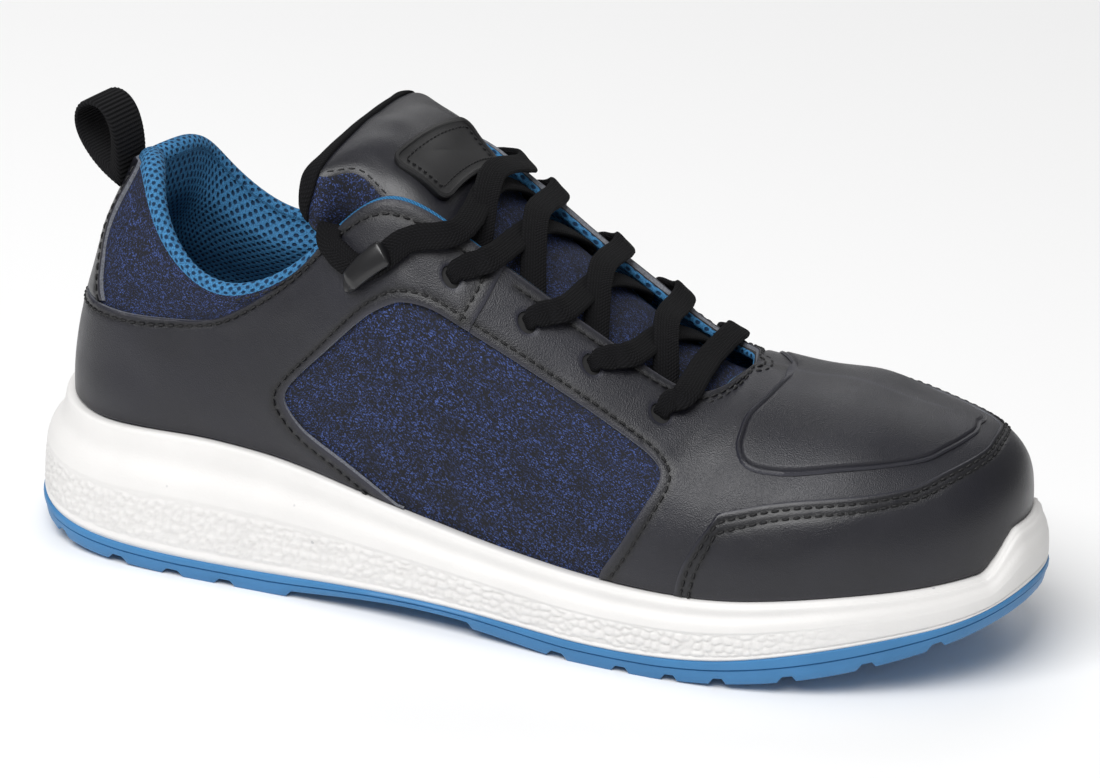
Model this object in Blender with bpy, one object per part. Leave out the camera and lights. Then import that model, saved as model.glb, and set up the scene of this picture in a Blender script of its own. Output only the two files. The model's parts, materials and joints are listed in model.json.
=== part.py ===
"""Safety sneaker, right shoe, standing empty and unbent on its sole.

Lengths are metres, the toe points to +X, the lateral side to -Y and +Z is up.
Every surface comes from a loop of sections round the foot: s counts the sections from
the heel along the lateral side to the toe and back along the medial side, and v climbs
a section from the foot's edge, 0, to the collar, throat or vamp ridge, 1.
"""

import math

import bmesh
import bpy
import numpy as np
from mathutils import Vector
from mathutils.bvhtree import BVHTree
from mathutils.geometry import delaunay_2d_cdt

# Driving sizes of the last
LENGTH = 0.302
BALL_WIDTH = 0.112
HEEL_HEIGHT = 0.042
COLLAR_HEIGHT = 0.1225
RIDGE_LEAN = 0.005
ARCH_RADIUS = 0.046

# Sole
SOLE_FLARE = 0.0095
LIP_WIDTH = 0.0032
LIP_ROUND = 0.0009
BUMPER_RISE = 0.011
TREAD_DEPTH = 0.0026
TREAD_GROOVE = 0.0036
TREAD_CHAMFER = 0.0008
CENTRE_GROOVE = 0.006
EDGE_ROUND = 0.0012
TUCK = 0.0015
INSOLE_THICK = 0.0035

# Upper, measured along its normals
WALL = 0.0020
OVERLAY = 0.0013
GUARD_PROUD = 0.0006
PLATEAU_PROUD = 0.0010
GAP = 0.0003
FACET_GAP = 0.0006
COLLAR_PAD = 0.0095
THROAT_ROUND = 0.015
THROAT_END = 0.7086

# Tongue, badge and laces
TONGUE_THICK = 0.0032
TONGUE_PAD = 0.0062
TONGUE_POINTS = 13
BADGE_LENGTH = 0.019
BADGE_WIDTH = 0.042
BADGE_CORNER = 0.0045
BADGE_FROM_TIP = 0.029
BADGE_THICK = 0.0016
LACE_WIDTH = 0.0085
LACE_THICK = 0.0016
KEEPER_LENGTH = 0.020
KEEPER_WIDTH = 0.0085
KEEPER_THICK = 0.0016
KEEPER_ALONG = np.array([0.60, 0.80])
DROP = 0.03
THROAT_REACH = 0.021
CROSS_REACH = 0.012

# Pull loop
LOOP_WIDTH = 0.015
LOOP_HEIGHT = 0.029
LOOP_SPAN = 0.0155
LOOP_BAND = 0.0016
LOOP_STEM = 0.007
LOOP_LEAN = 8.0
LOOP_FOOT = 0.93

# foot_x and top_x are shares of LENGTH, lat, med and top_y of BALL_WIDTH, foot_z of
# HEEL_HEIGHT and top_z of COLLAR_HEIGHT. lean and slope are degrees from upright and
# from level, and pull and top_pull say how far each end's direction carries.
UPPER_COLUMNS = "name foot_x lat med foot_z top_x top_y top_z lean pull slope top_pull".split()
UPPER = (
    ("heel", 0.0315, 0.000, 0.000, 0.857, 0.063, 0.000, 0.873, 4, 0.40, 76, 0.35),
    ("back", 0.0447, 0.170, 0.170, 0.857, 0.081, 0.152, 0.869, 8, 0.40, 76, 0.35),
    ("counter", 0.0927, 0.277, 0.277, 0.881, 0.126, 0.254, 0.816, 10, 0.40, 80, 0.35),
    ("ankle", 0.182, 0.317, 0.312, 0.905, 0.205, 0.290, 0.739, 10, 0.42, 82, 0.35),
    ("shank", 0.281, 0.335, 0.308, 0.857, 0.291, 0.304, 0.824, 12, 0.42, 74, 0.35),
    ("cuff", 0.381, 0.362, 0.304, 0.714, 0.368, 0.290, 1.000, 14, 0.42, 62, 0.35),
    ("instep", 0.487, 0.397, 0.326, 0.595, 0.464, 0.259, 0.902, 14, 0.42, 46, 0.35),
    ("waist", 0.589, 0.433, 0.371, 0.500, 0.570, 0.232, 0.743, 14, 0.42, 36, 0.36),
    ("lace", 0.672, 0.451, 0.411, 0.464, 0.662, 0.210, 0.620, 14, 0.42, 30, 0.38),
    ("ball", 0.742, 0.446, 0.433, 0.476, 0.728, 0.161, 0.600, 14, 0.44, 24, 0.40),
    ("vamp", 0.815, 0.406, 0.420, 0.512, 0.795, 0.000, 0.618, 12, 0.48, 0, 0.44),
    ("cap", 0.887, 0.321, 0.364, 0.595, 0.848, 0.000, 0.594, 10, 0.52, 0, 0.46),
    ("point", 0.947, 0.188, 0.240, 0.690, 0.887, 0.000, 0.576, 8, 0.56, 0, 0.50),
    ("toe", 0.977, -0.018, 0.018, 0.738, 0.901, 0.000, 0.569, 6, 0.58, 0, 0.52),
)
# ground, line, floor and lip are shares of HEEL_HEIGHT: the tread, the seam between
# outsole and midsole, the bed inside and the midsole's top edge. spread is a share of
# SOLE_FLARE, and facets is the number of steps to the next section.
SOLE_COLUMNS = "name ground line floor lip spread facets".split()
SOLE = (
    ("heel", 0.190, 0.300, 0.643, 1.040, 1.00, 3),
    ("back", 0.120, 0.262, 0.643, 1.025, 0.98, 3),
    ("counter", 0.036, 0.185, 0.643, 0.985, 0.89, 2),
    ("ankle", 0.000, 0.150, 0.643, 1.010, 0.79, 2),
    ("shank", 0.000, 0.155, 0.607, 0.965, 0.70, 2),
    ("cuff", 0.062, 0.185, 0.524, 0.825, 0.64, 3),
    ("instep", 0.072, 0.190, 0.440, 0.690, 0.63, 2),
    ("waist", 0.000, 0.155, 0.369, 0.610, 0.61, 2),
    ("lace", 0.000, 0.160, 0.330, 0.590, 0.58, 2),
    ("ball", 0.040, 0.215, 0.345, 0.615, 0.58, 2),
    ("vamp", 0.130, 0.330, 0.400, 0.680, 0.60, 3),
    ("cap", 0.270, 0.450, 0.500, 0.735, 0.64, 3),
    ("point", 0.430, 0.570, 0.617, 0.780, 0.70, 3),
    ("toe", 0.545, 0.700, 0.738, 0.800, 0.74, 0),
)

TOE = len(UPPER) - 1
LOOP = 2 * TOE
THROAT_ROW = 9
COLLAR_ROWS = 4
UPPER_ROWS = (0.0, 0.12, 0.25, 0.38, 0.51, 0.64, 0.77, 0.89, 1.0)
THROAT_STEPS = (90, 62, 36, 16, 0)
SECTION_RUN = 0.62
OUTLINE_STEP = 0.008
BUMPER_FROM, BUMPER_TO = 12.05, 12.60

# Side notches between the lugs and the plain arch, as sections from heel to toe
NOTCHES = (1.55, 2.35, 2.95, 3.50, 6.90, 7.62, 8.25, 8.90, 9.75, 10.65, 11.45)
LUGS_END, LUGS_START = 4.15, 6.05
CHEVRON = 0.35
TREAD_ACROSS = (0.0, 0.22, 0.455, 0.470, 0.530, 0.545, 0.78, 1.0)

# Outlines on the upper as (s, v), rear to front on the lateral side
COUNTER_TOP = (
    (0.00, 0.530), (0.94, 0.536), (1.66, 0.569), (2.19, 0.623), (2.65, 0.720),
    (3.02, 0.820), (3.28, 0.895), (3.62, 0.950), (4.10, 0.980), (4.50, 1.000),
)
PANEL_REAR = (
    (5.27, 0.033), (5.05, 0.063), (4.75, 0.105), (4.44, 0.155), (4.21, 0.210),
    (4.03, 0.300), (4.00, 0.364), (4.08, 0.420), (4.31, 0.494), (4.81, 0.600),
    (5.20, 0.674), (5.36, 0.700), (5.67, 0.724), (6.04, 0.724),
)
PANEL_FRONT = (
    (6.04, 0.724), (6.50, 0.720), (6.87, 0.711), (7.26, 0.695), (7.69, 0.665),
    (7.88, 0.632), (7.95, 0.594), (7.93, 0.527), (7.77, 0.397), (7.54, 0.234),
    (7.26, 0.075),
)
STAY_SEAM = ((6.04, 0.724), (6.09, 0.780), (6.16, 0.870), (6.21, 1.000))
GUARD_TOP = (
    (8.21, 0.080), (8.30, 0.188), (8.45, 0.272), (8.63, 0.331), (8.99, 0.368),
    (9.33, 0.397), (9.67, 0.414), (10.37, 0.435), (11.00, 0.485), (11.39, 0.556),
    (12.12, 0.686), (12.70, 0.775), (13.30, 0.775), (14.00, 0.690), (14.60, 0.680),
    (15.30, 0.690), (16.00, 0.640), (16.70, 0.500), (17.20, 0.370), (17.60, 0.230),
    (17.79, 0.080),
)
PLATEAU_EDGE = (
    (9.15, 0.941), (8.97, 0.803), (8.82, 0.711), (8.78, 0.636), (8.79, 0.569),
    (8.95, 0.510), (9.31, 0.498), (9.96, 0.523), (10.55, 0.556), (11.18, 0.619),
    (11.54, 0.690), (12.17, 0.800), (13.00, 0.880), (13.90, 0.800), (14.60, 0.770),
    (15.40, 0.765), (16.20, 0.735), (16.90, 0.690), (17.18, 0.720), (17.16, 0.800),
    (16.85, 0.941),
)
BACKSTAY_EDGE = ((1.53, 0.580), (1.32, 0.644), (1.10, 0.753), (0.84, 0.854), (0.80, 0.990))
EYELETS = ((7.83, 0.845), (7.10, 0.873), (6.50, 0.873), (5.80, 0.858))
KEEPER = (4.95, 0.785)


def smooth(low, high, at):
    t = np.clip((at - low) / (high - low), 0, 1)
    return t * t * (3 - 2 * t)


def spline_loop(knots, at):
    """Values of a smooth closed curve through equally spaced knots."""
    k = np.asarray(knots, float)
    n = len(k)
    near = np.roll(np.eye(n), 1, 0) + np.roll(np.eye(n), -1, 0)
    m = np.linalg.solve(4 * np.eye(n) + near, 3 * (np.roll(k, -1, 0) - np.roll(k, 1, 0)))
    at = np.asarray(at, float)
    i = np.floor(at).astype(int)
    f = at - i
    i, j = i % n, (i + 1) % n
    start = (2 * f**3 - 3 * f**2 + 1) * k[i] + (f**3 - 2 * f**2 + f) * m[i]
    return start + (3 * f**2 - 2 * f**3) * k[j] + (f**3 - f**2) * m[j]


def around(lateral, medial=None):
    """A section table's column as knots of the full loop."""
    lateral = list(lateral)
    medial = lateral if medial is None else list(medial)
    return np.array(lateral + medial[-2:0:-1], float)


def upper_column(name, scale=1.0):
    return [row[UPPER_COLUMNS.index(name)] * scale for row in UPPER]


def sole_column(name, scale=1.0):
    return [row[SOLE_COLUMNS.index(name)] * scale for row in SOLE]


FOOT_X = around(upper_column("foot_x", LENGTH))
FOOT_Y = around(upper_column("lat", -BALL_WIDTH), upper_column("med", BALL_WIDTH))
FOOT_Z = around(upper_column("foot_z", HEEL_HEIGHT))
TOP_X = around(upper_column("top_x", LENGTH))
TOP_Y = around(upper_column("top_y", BALL_WIDTH))
TOP_Z = around(upper_column("top_z", COLLAR_HEIGHT))
LEAN = around(upper_column("lean"))
PULL = around(upper_column("pull"))
SLOPE = around(upper_column("slope"))
TOP_PULL = around(upper_column("top_pull"))


def ridge_falls():
    """How steeply the throat and the vamp ridge run downhill at each section."""
    x = upper_column("top_x", LENGTH)
    z = [
        top + half**2 / (2 * ARCH_RADIUS)
        for top, half in zip(upper_column("top_z", COLLAR_HEIGHT), upper_column("top_y", BALL_WIDTH))
    ]
    first = THROAT_ROW - 1
    falls = [0.0] * first
    for k in range(first, TOE + 1):
        a, b = max(k - 1, first), min(k + 1, TOE)
        falls.append((z[b] - z[a]) / (x[b] - x[a]))
    return around(falls)


FALL = ridge_falls()
UP = np.array([0.0, 0.0, 1.0])


def foot(s):
    parts = (spline_loop(FOOT_X, s), spline_loop(FOOT_Y, s), spline_loop(FOOT_Z, s))
    return np.stack(parts, -1)


def outward(s):
    """The foot edge's level outward direction."""
    step = 1e-3
    along = foot(np.asarray(s) + step) - foot(np.asarray(s) - step)
    normal = np.stack([along[..., 1], -along[..., 0], 0 * along[..., 0]], -1)
    return normal / np.linalg.norm(normal, axis=-1, keepdims=True)


def folded(s):
    """The section number counted from the heel on either side."""
    s = np.asarray(s, float) % LOOP
    return np.where(s <= TOE, s, LOOP - s)


def ridge_y(x):
    return RIDGE_LEAN * smooth(0.63 * LENGTH, 0.94 * LENGTH, x)


def openness(s):
    """1 along the collar and throat, falling to 0 round the throat's end."""
    inside = np.clip((THROAT_END * LENGTH - spline_loop(TOP_X, s)) / THROAT_ROUND, 0, 1)
    return np.where(folded(s) < COLLAR_ROWS, 1.0, np.sqrt(1 - (1 - inside) ** 2))


def top_edge(s):
    s = np.asarray(s, float)
    x, half, share = spline_loop(TOP_X, s), spline_loop(TOP_Y, s), openness(s)
    z = spline_loop(TOP_Z, s) + half**2 * (1 - share**2) / (2 * ARCH_RADIUS)
    side = np.where(s % LOOP <= TOE, -1.0, 1.0)
    return np.stack([x, ridge_y(x) + side * half * share, z], -1)


def skin(s, v):
    """Points of the finished upper's outer surface."""
    s, v = np.broadcast_arrays(np.asarray(s, float), np.asarray(v, float))
    v = v[..., None]
    low_end, high_end, normal = foot(s), top_edge(s), outward(s)
    lean = np.radians(spline_loop(LEAN, s))[..., None]
    slope = (np.radians(spline_loop(SLOPE, s)) * openness(s))[..., None]
    fall = spline_loop(FALL, s)[..., None]
    reach = np.linalg.norm(high_end - low_end, axis=-1, keepdims=True)
    rise = normal * np.sin(lean) + UP * np.cos(lean)
    flat = normal + UP * fall * normal[..., :1]
    crown = flat * np.cos(slope) - UP * np.sin(slope)
    low_pull = low_end + rise * reach * spline_loop(PULL, s)[..., None]
    high_pull = high_end + crown * reach * spline_loop(TOP_PULL, s)[..., None]
    return (
        (1 - v) ** 3 * low_end
        + 3 * (1 - v) ** 2 * v * low_pull
        + 3 * (1 - v) * v * v * high_pull
        + v**3 * high_end
    )


def level(name, s):
    """A height from the sole table."""
    return spline_loop(around(sole_column(name, HEEL_HEIGHT)), s)


def ground(s):
    return np.maximum(level("ground", s), 0)


def lip(s):
    return level("lip", s) + BUMPER_RISE * smooth(BUMPER_FROM, BUMPER_TO, folded(s))


def lip_share(s, clearance=0.0):
    """v where the midsole's edge crosses the upper's surface."""
    tries = np.linspace(0, 0.5, 101)
    s = np.atleast_1d(np.asarray(s, float))
    heights = skin(s[None, :], tries[:, None])[..., 2]
    return np.array(
        [np.interp(lip(at) + clearance, heights[:, k], tries) for k, at in enumerate(s)]
    )


def make_stations():
    """Section numbers at which facets meet, with the throat's end divided by angle."""
    found = [float(TOE)]
    for row, facets in enumerate(sole_column("facets")[:-1]):
        found += [row + k / facets for k in range(int(facets))]
    fine = np.linspace(THROAT_ROW - 2, THROAT_ROW + 1, 600)
    x = spline_loop(TOP_X, fine)
    for angle in np.radians(THROAT_STEPS):
        target = THROAT_END * LENGTH - THROAT_ROUND * (1 - math.cos(angle))
        at = float(np.interp(target, x, fine))
        found = [u for u in found if abs(u - at) > 0.12 or u == TOE]
        found.append(at)
    return np.array(sorted(found)), at


STATIONS, RIDGE_FROM = make_stations()
COLUMNS = np.concatenate([STATIONS, LOOP - STATIONS[-2:0:-1]])


def sole_point(s, offset, z):
    point = foot(s) + outward(s) * np.asarray(offset)[..., None]
    point[..., 2] = z
    return point


def spread(s):
    return spline_loop(around(sole_column("spread", SOLE_FLARE)), s)


OUTLINE = sole_point(COLUMNS, spread(COLUMNS), 0.0)
MIDDLE = (OUTLINE.min(0) + OUTLINE.max(0)) / 2
MIDDLE[2] = 0.0


def material(name, colour, roughness, metallic=0.0):
    made = bpy.data.materials.new(name)
    made.use_nodes = True
    shader = made.node_tree.nodes["Principled BSDF"]
    shader.inputs["Base Color"].default_value = (*colour, 1.0)
    shader.inputs["Roughness"].default_value = roughness
    shader.inputs["Metallic"].default_value = metallic
    return made


def make_object(name, points, faces, finish, sharp=35.0):
    """An object of these points, moved so that the sole's middle is the origin."""
    mesh = bpy.data.meshes.new(name)
    mesh.from_pydata([tuple(p) for p in np.asarray(points) - MIDDLE], [], [list(f) for f in faces])
    work = bmesh.new()
    work.from_mesh(mesh)
    bmesh.ops.remove_doubles(work, verts=work.verts, dist=1e-6)
    bmesh.ops.dissolve_degenerate(work, edges=work.edges, dist=1e-6)
    bmesh.ops.triangulate(work, faces=work.faces, quad_method="SHORT_EDGE")
    work.to_mesh(mesh)
    work.free()
    mesh.shade_smooth()
    mesh.set_sharp_from_angle(angle=math.radians(sharp))
    mesh.materials.append(finish)
    made = bpy.data.objects.new(name, mesh)
    bpy.context.collection.objects.link(made)
    return made


def welded(points, faces):
    """Points that coincide made one."""
    _, first, index = np.unique(
        np.round(points * 1e7).astype(np.int64), axis=0, return_index=True, return_inverse=True
    )
    index = index.reshape(-1)
    renumbered = []
    for face in faces:
        ring = [int(index[k]) for k in face]
        ring = [k for n, k in enumerate(ring) if k != ring[n - 1]]
        if len(ring) > 2:
            renumbered.append(ring)
    return points[first], renumbered, index


def vertex_normals(points, faces):
    normals = np.zeros_like(points)
    for face in faces:
        middle = points[list(face)].mean(0)
        for a, b in zip(face, face[1:] + face[:1]):
            cross = np.cross(points[a] - middle, points[b] - middle)
            normals[a] += cross
            normals[b] += cross
    return normals / np.maximum(np.linalg.norm(normals, axis=1, keepdims=True), 1e-12)


def border(faces):
    """The directed edges that only one face has."""
    edges = {}
    for face in faces:
        for a, b in zip(face, face[1:] + face[:1]):
            edges[(a, b)] = edges.get((a, b), 0) + 1
    return [(a, b) for a, b in edges if (b, a) not in edges]


def thicken(points, faces, low, high, rounded=None):
    """A closed solid between two offsets of a sheet. rounded picks rim points of a roll."""
    normals = vertex_normals(points, faces)
    low = np.broadcast_to(low, len(points))[:, None]
    high = np.broadcast_to(high, len(points))[:, None]
    outer, inner = points + normals * high, points + normals * low
    count = len(points)
    solid = [list(face) for face in faces]
    solid += [[k + count for k in reversed(face)] for face in faces]
    extra, rims = [], {}
    edges = border(faces)
    following = dict(edges)
    before = {b: a for a, b in edges}
    for a, b in edges:
        for k in (a, b):
            if rounded is None or not rounded[k] or k in rims:
                continue
            along = points[following[k]] - points[before[k]]
            away = np.cross(along, normals[k])
            away /= np.linalg.norm(away)
            middle, half = (outer[k] + inner[k]) / 2, (outer[k] - inner[k]) / 2
            rims[k] = []
            for angle in np.radians((45, 90, 135)):
                rims[k].append(2 * count + len(extra))
                side = away * np.linalg.norm(half) * math.sin(angle)
                extra.append(middle + half * math.cos(angle) + side)
    for a, b in edges:
        first = [a, *rims.get(a, []), a + count]
        second = [b, *rims.get(b, []), b + count]
        if len(first) == len(second):
            for k in range(len(first) - 1):
                solid.append([second[k], first[k], first[k + 1], second[k + 1]])
        else:
            solid.append(second[:1] + first + second[:0:-1])
    return np.concatenate([outer, inner] + ([np.array(extra)] if extra else [])), solid


def strip_faces(rings, count, closed=True):
    """Quads between rings of points that are numbered one ring after another."""
    faces = []
    last = count if closed else count - 1
    for ring in range(rings - 1):
        for k in range(last):
            a, b = ring * count + k, ring * count + (k + 1) % count
            faces.append([a, b, b + count, a + count])
    return faces


def ladder_faces(first, count, upward):
    """Quads across a loop of points, between the two sides' partners."""
    half = count // 2
    faces = [[first, first + 1, first + count - 1]]
    for k in range(1, half - 1):
        faces.append([first + k, first + k + 1, first + count - k - 1, first + count - k])
    faces.append([first + half - 1, first + half, first + half + 1])
    return faces if upward else [face[::-1] for face in faces]


def split_at(face, corner):
    """A quad cut from this corner, or the face as it is."""
    if corner not in face or len(face) != 4:
        return [face]
    k = face.index(corner)
    ring = face[k:] + face[:k]
    return [[ring[0], ring[1], ring[2]], [ring[0], ring[2], ring[3]]]


def recess():
    """How far the base of the upper lies under the overlays' outer face."""
    return OVERLAY + FACET_GAP


def under_skin(s, v, depth):
    """Level inset of the surface, for the rings that the sole's cup follows."""
    return skin(s, v) - outward(s) * depth


def base_ring(s, offset=0.0):
    point = foot(s) - outward(s) * (TUCK + recess() - np.asarray(offset))
    point[..., 2] = level("floor", s)
    return point


def build_upper(finish):
    rings = [base_ring(COLUMNS, recess())]
    rings += [skin(COLUMNS, v) for v in UPPER_ROWS]
    points, faces, index = welded(np.concatenate(rings), strip_faces(len(rings), len(COLUMNS)))
    tip = index[(len(rings) - 1) * len(COLUMNS) + int(np.argmin(abs(COLUMNS - TOE)))]
    faces = [part for face in faces for part in split_at(face, tip)]
    s = np.zeros(len(points))
    v = np.zeros(len(points))
    s[index] = np.tile(COLUMNS, len(rings))
    v[index] = np.repeat((-0.1,) + UPPER_ROWS, len(COLUMNS))
    section = folded(s)
    collar = 1 - smooth(COLLAR_ROWS - 0.4, COLLAR_ROWS + 1.4, section)
    pad = (COLLAR_PAD - WALL) * collar * smooth(0.35, 1.0, v)
    points, faces = thicken(
        points, faces, -recess() - WALL - pad, -recess(), rounded=v > 0.99
    )
    return make_object("upper", points, faces, finish, sharp=50.0)


def cup_rings(s):
    """Inner faces of the midsole's cup, from its lip down to the bed."""
    share = lip_share(s)
    rings = [
        under_skin(s, share, recess() - GAP),
        under_skin(s, share / 2, recess() - GAP),
        under_skin(s, 0 * share, recess() - GAP),
        base_ring(s, GAP),
    ]
    rings[0][..., 2] = lip(s)
    rings[-1][..., 2] -= GAP
    return rings


def build_midsole(finish):
    s = COLUMNS
    flare, bottom, top = spread(s), level("line", s), lip(s)
    height = top - bottom
    rings = [
        sole_point(s, flare - EDGE_ROUND / 2, bottom),
        sole_point(s, flare, bottom + 0.10 * height),
        sole_point(s, 0.95 * flare, bottom + 0.46 * height),
        sole_point(s, 0.70 * flare + 0.22 * LIP_WIDTH, bottom + 0.62 * height),
        sole_point(s, LIP_WIDTH + LIP_ROUND / 2, bottom + 0.88 * height),
        sole_point(s, LIP_WIDTH, top - LIP_ROUND),
        sole_point(s, LIP_WIDTH - LIP_ROUND, top),
    ]
    rings += cup_rings(s)
    count = len(s)
    faces = strip_faces(len(rings), count)
    faces += ladder_faces((len(rings) - 1) * count, count, True)
    faces += ladder_faces(0, count, False)
    return make_object("midsole", np.concatenate(rings), faces, finish)


def tread_stations():
    """The stations of the sole with each groove's edges added, and their groove depths."""
    section = LENGTH / TOE
    slope, flat = TREAD_CHAMFER / section, TREAD_GROOVE / section / 2
    stops = {}
    for at in NOTCHES:
        for shift, depth in ((-flat - slope, 0.0), (-flat, 1.0), (flat, 1.0), (flat + slope, 0.0)):
            stops[at + shift] = depth
    stops |= {LUGS_END: 0.0, LUGS_END + slope: 1.0, LUGS_START - slope: 1.0, LUGS_START: 0.0}
    for u in STATIONS:
        if min(abs(u - at) for at in stops) > 0.2 or u == TOE or u == 0:
            low, high = (
                max((at for at in stops if at < u), default=None),
                min((at for at in stops if at > u), default=None),
            )
            inside = low is not None and high is not None and stops[low] == stops[high] == 1.0
            stops[float(u)] = 1.0 if inside else 0.0
    order = sorted(stops)
    return np.array(order), np.array([stops[u] for u in order])


def build_outsole(finish):
    stations, cut = tread_stations()
    s = np.concatenate([stations, LOOP - stations[-2:0:-1]])
    depth = TREAD_DEPTH * np.concatenate([cut, cut[-2:0:-1]])
    flare, top = spread(s), level("line", s) - GAP
    lug = np.minimum(ground(s) + depth, top - 2 * EDGE_ROUND)
    plate = np.minimum(ground(s) + TREAD_DEPTH, top - EDGE_ROUND)
    rings = [
        sole_point(s, flare - EDGE_ROUND, lug),
        sole_point(s, flare - EDGE_ROUND / 4, plate),
        sole_point(s, flare + EDGE_ROUND / 3, (plate + top) / 2),
        sole_point(s, flare - EDGE_ROUND / 2, top),
    ]
    count = len(s)
    points = [np.concatenate(rings)]
    faces = strip_faces(len(rings), count)
    faces += ladder_faces((len(rings) - 1) * count, count, True)
    half = count // 2
    total = len(rings) * count
    across = TREAD_ACROSS[1:-1]
    rows, inner = [], []
    for k in range(1, half):
        u = stations[k]
        row = [k]
        for t in across:
            bend = CHEVRON * (1 - abs(2 * t - 1)) * min(1.0, 2 * u / TOE, 2 * (TOE - u) / TOE)
            at = min(u + bend, TOE - 0.05)
            near, far = (
                sole_point(np.array(side), spread(side) - EDGE_ROUND, 0.0) for side in (at, LOOP - at)
            )
            middle = abs(t - 0.5) * np.linalg.norm(far - near) < CENTRE_GROOVE / 2
            groove = max(cut[k], 1.0 if middle else 0.0)
            point = near + (far - near) * t
            point[2] = ground(at) + TREAD_DEPTH * groove
            point[2] = min(point[2], level("line", at) - GAP - 2 * EDGE_ROUND)
            row.append(total + len(inner))
            inner.append(point)
        row.append(count - k)
        rows.append(row)
    points.append(np.array(inner))
    first, last = rows[0], rows[-1]
    for a, b in zip(first, first[1:]):
        faces.append([0, b, a])
    for low, high in zip(rows, rows[1:]):
        for k in range(len(low) - 1):
            faces.append([low[k], low[k + 1], high[k + 1], high[k]])
    for a, b in zip(last, last[1:]):
        faces.append([half, a, b])
    return make_object("outsole", np.concatenate(points), faces, finish)


def build_insole(finish):
    s = COLUMNS
    inset = WALL + recess() + TUCK + GAP
    rings = []
    for rise in (GAP, GAP + INSOLE_THICK):
        rings.append(sole_point(s, -inset - 0 * s, level("floor", s) + rise))
    count = len(s)
    faces = strip_faces(2, count) + ladder_faces(count, count, True) + ladder_faces(0, count, False)
    return make_object("insole", np.concatenate(rings), faces, finish)


def catmull_point(a, b, c, d, t):
    """The point at t between b and c on the smooth curve through four."""
    bend = (2 * a - 5 * b + 4 * c - d) * t**2 + (3 * b - a - 3 * c + d) * t**3
    return 0.5 * (2 * b + (c - a) * t + bend)


def catmull(points, step):
    """Points about a step apart on a smooth open curve through the given ones."""
    p = np.asarray(points, float)
    p = np.concatenate([[2 * p[0] - p[1]], p, [2 * p[-1] - p[-2]]])
    curve = []
    for a, b, c, d in zip(p, p[1:], p[2:], p[3:]):
        parts = max(1, round(float(np.linalg.norm(flat_size(c - b))) / step))
        curve += [catmull_point(a, b, c, d, t) for t in np.arange(parts) / parts]
    curve.append(p[-2])
    return np.array(curve)


def flat_size(spot):
    """An (s, v) difference as rough lengths on the shoe."""
    return np.asarray(spot) * (LENGTH / TOE, SECTION_RUN * COLLAR_HEIGHT)


def beside(curve, distance):
    """The (s, v) curve moved to its left by a length."""
    flat = flat_size(curve)
    along = np.gradient(flat, axis=0)
    along /= np.linalg.norm(along, axis=1, keepdims=True)
    moved = flat + np.stack([-along[:, 1], along[:, 0]], 1) * distance
    return moved / flat_size((1.0, 1.0))


def other_side(curve):
    return np.array([(LOOP - s, v) for s, v in curve][::-1])


def along_columns(start, end, share):
    """Points at the columns between two sections, at v = share(s)."""
    low, high = min(start, end), max(start, end)
    every = np.concatenate([COLUMNS - LOOP, COLUMNS])
    every = np.sort(every[(every > low + 0.04) & (every < high - 0.04)])
    s = np.concatenate([[low], every, [high]])
    found = np.stack([s, share(s)], 1)
    return found if start < end else found[::-1]


def inside(outline, spots):
    """Which spots lie in the closed outline."""
    found = np.zeros(len(spots), bool)
    for a, b in zip(outline, np.roll(outline, -1, 0)):
        crosses = (a[1] > spots[:, 1]) != (b[1] > spots[:, 1])
        rise = b[1] - a[1] if b[1] != a[1] else 1.0
        found ^= crosses & (spots[:, 0] < a[0] + (spots[:, 1] - a[1]) * (b[0] - a[0]) / rise)
    return found


def border_distance(outline, spots):
    best = np.full(len(spots), np.inf)
    for a, b in zip(outline, np.roll(outline, -1, 0)):
        d = b - a
        t = np.clip(((spots - a) @ d) / max(d @ d, 1e-18), 0, 1)
        best = np.minimum(best, np.linalg.norm(spots - a - t[:, None] * d, axis=1))
    return best


def with_quads(spots, triangles):
    """The faces, with each pair of triangles that fills a cell of the grid made one quad."""
    cells, faces = {}, []
    for face in triangles:
        s, v = np.round(spots[list(face)], 6).T
        if len(set(s)) == 2 and len(set(v)) == 2:
            cells.setdefault((min(s), max(s), min(v), max(v)), []).append(list(face))
        else:
            faces.append(list(face))
    for pair in cells.values():
        if len(pair) == 1:
            faces += pair
            continue
        first, second = pair
        fresh = [k for k in second if k not in first]
        shared = [n for n in range(3) if first[n] in second and first[(n + 1) % 3] in second]
        if len(fresh) == len(shared) == 1:
            n = shared[0] + 1
            faces.append(first[:n] + fresh + first[n:])
        else:
            faces += pair
    return faces


def patch(name, outline, surface, grid, low, high, finish, margin=0.0022, size=flat_size):
    """A panel between two offsets of a surface, cut to an outline on it."""
    keep = np.linalg.norm(size(outline - np.roll(outline, 1, 0)), axis=1) > 1e-5
    outline = outline[keep]
    grid = grid[inside(outline, grid)]
    flat, spots = size(outline), size(grid)
    grid = grid[border_distance(flat, spots) > margin]
    everything = np.concatenate([outline, grid])
    work = [Vector(p) for p in size(everything)]
    loop = [list(range(len(outline)))]
    made, _, faces, origin, _, _ = delaunay_2d_cdt(work, [], loop, 1, 1e-7)
    spots = np.array([everything[ids[0]] for ids in origin])
    points, faces, _ = welded(surface(spots[:, 0], spots[:, 1]), with_quads(spots, faces))
    normals = vertex_normals(points, faces)
    points, faces = thicken(points, faces, low, high)
    return make_object(name, points, faces, finish)


def skin_grid():
    every = np.concatenate([COLUMNS - LOOP, COLUMNS])
    s, v = np.meshgrid(every, UPPER_ROWS[:-1])
    spots = np.stack([s.ravel(), v.ravel()], 1)
    tip = (np.abs(spots[:, 0] - TOE) < 0.01) & (spots[:, 1] > 0.7)
    beside_tip = [(TOE - 0.24, 0.93), (TOE + 0.24, 0.93)]
    return np.concatenate([spots[~tip], beside_tip])


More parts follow.
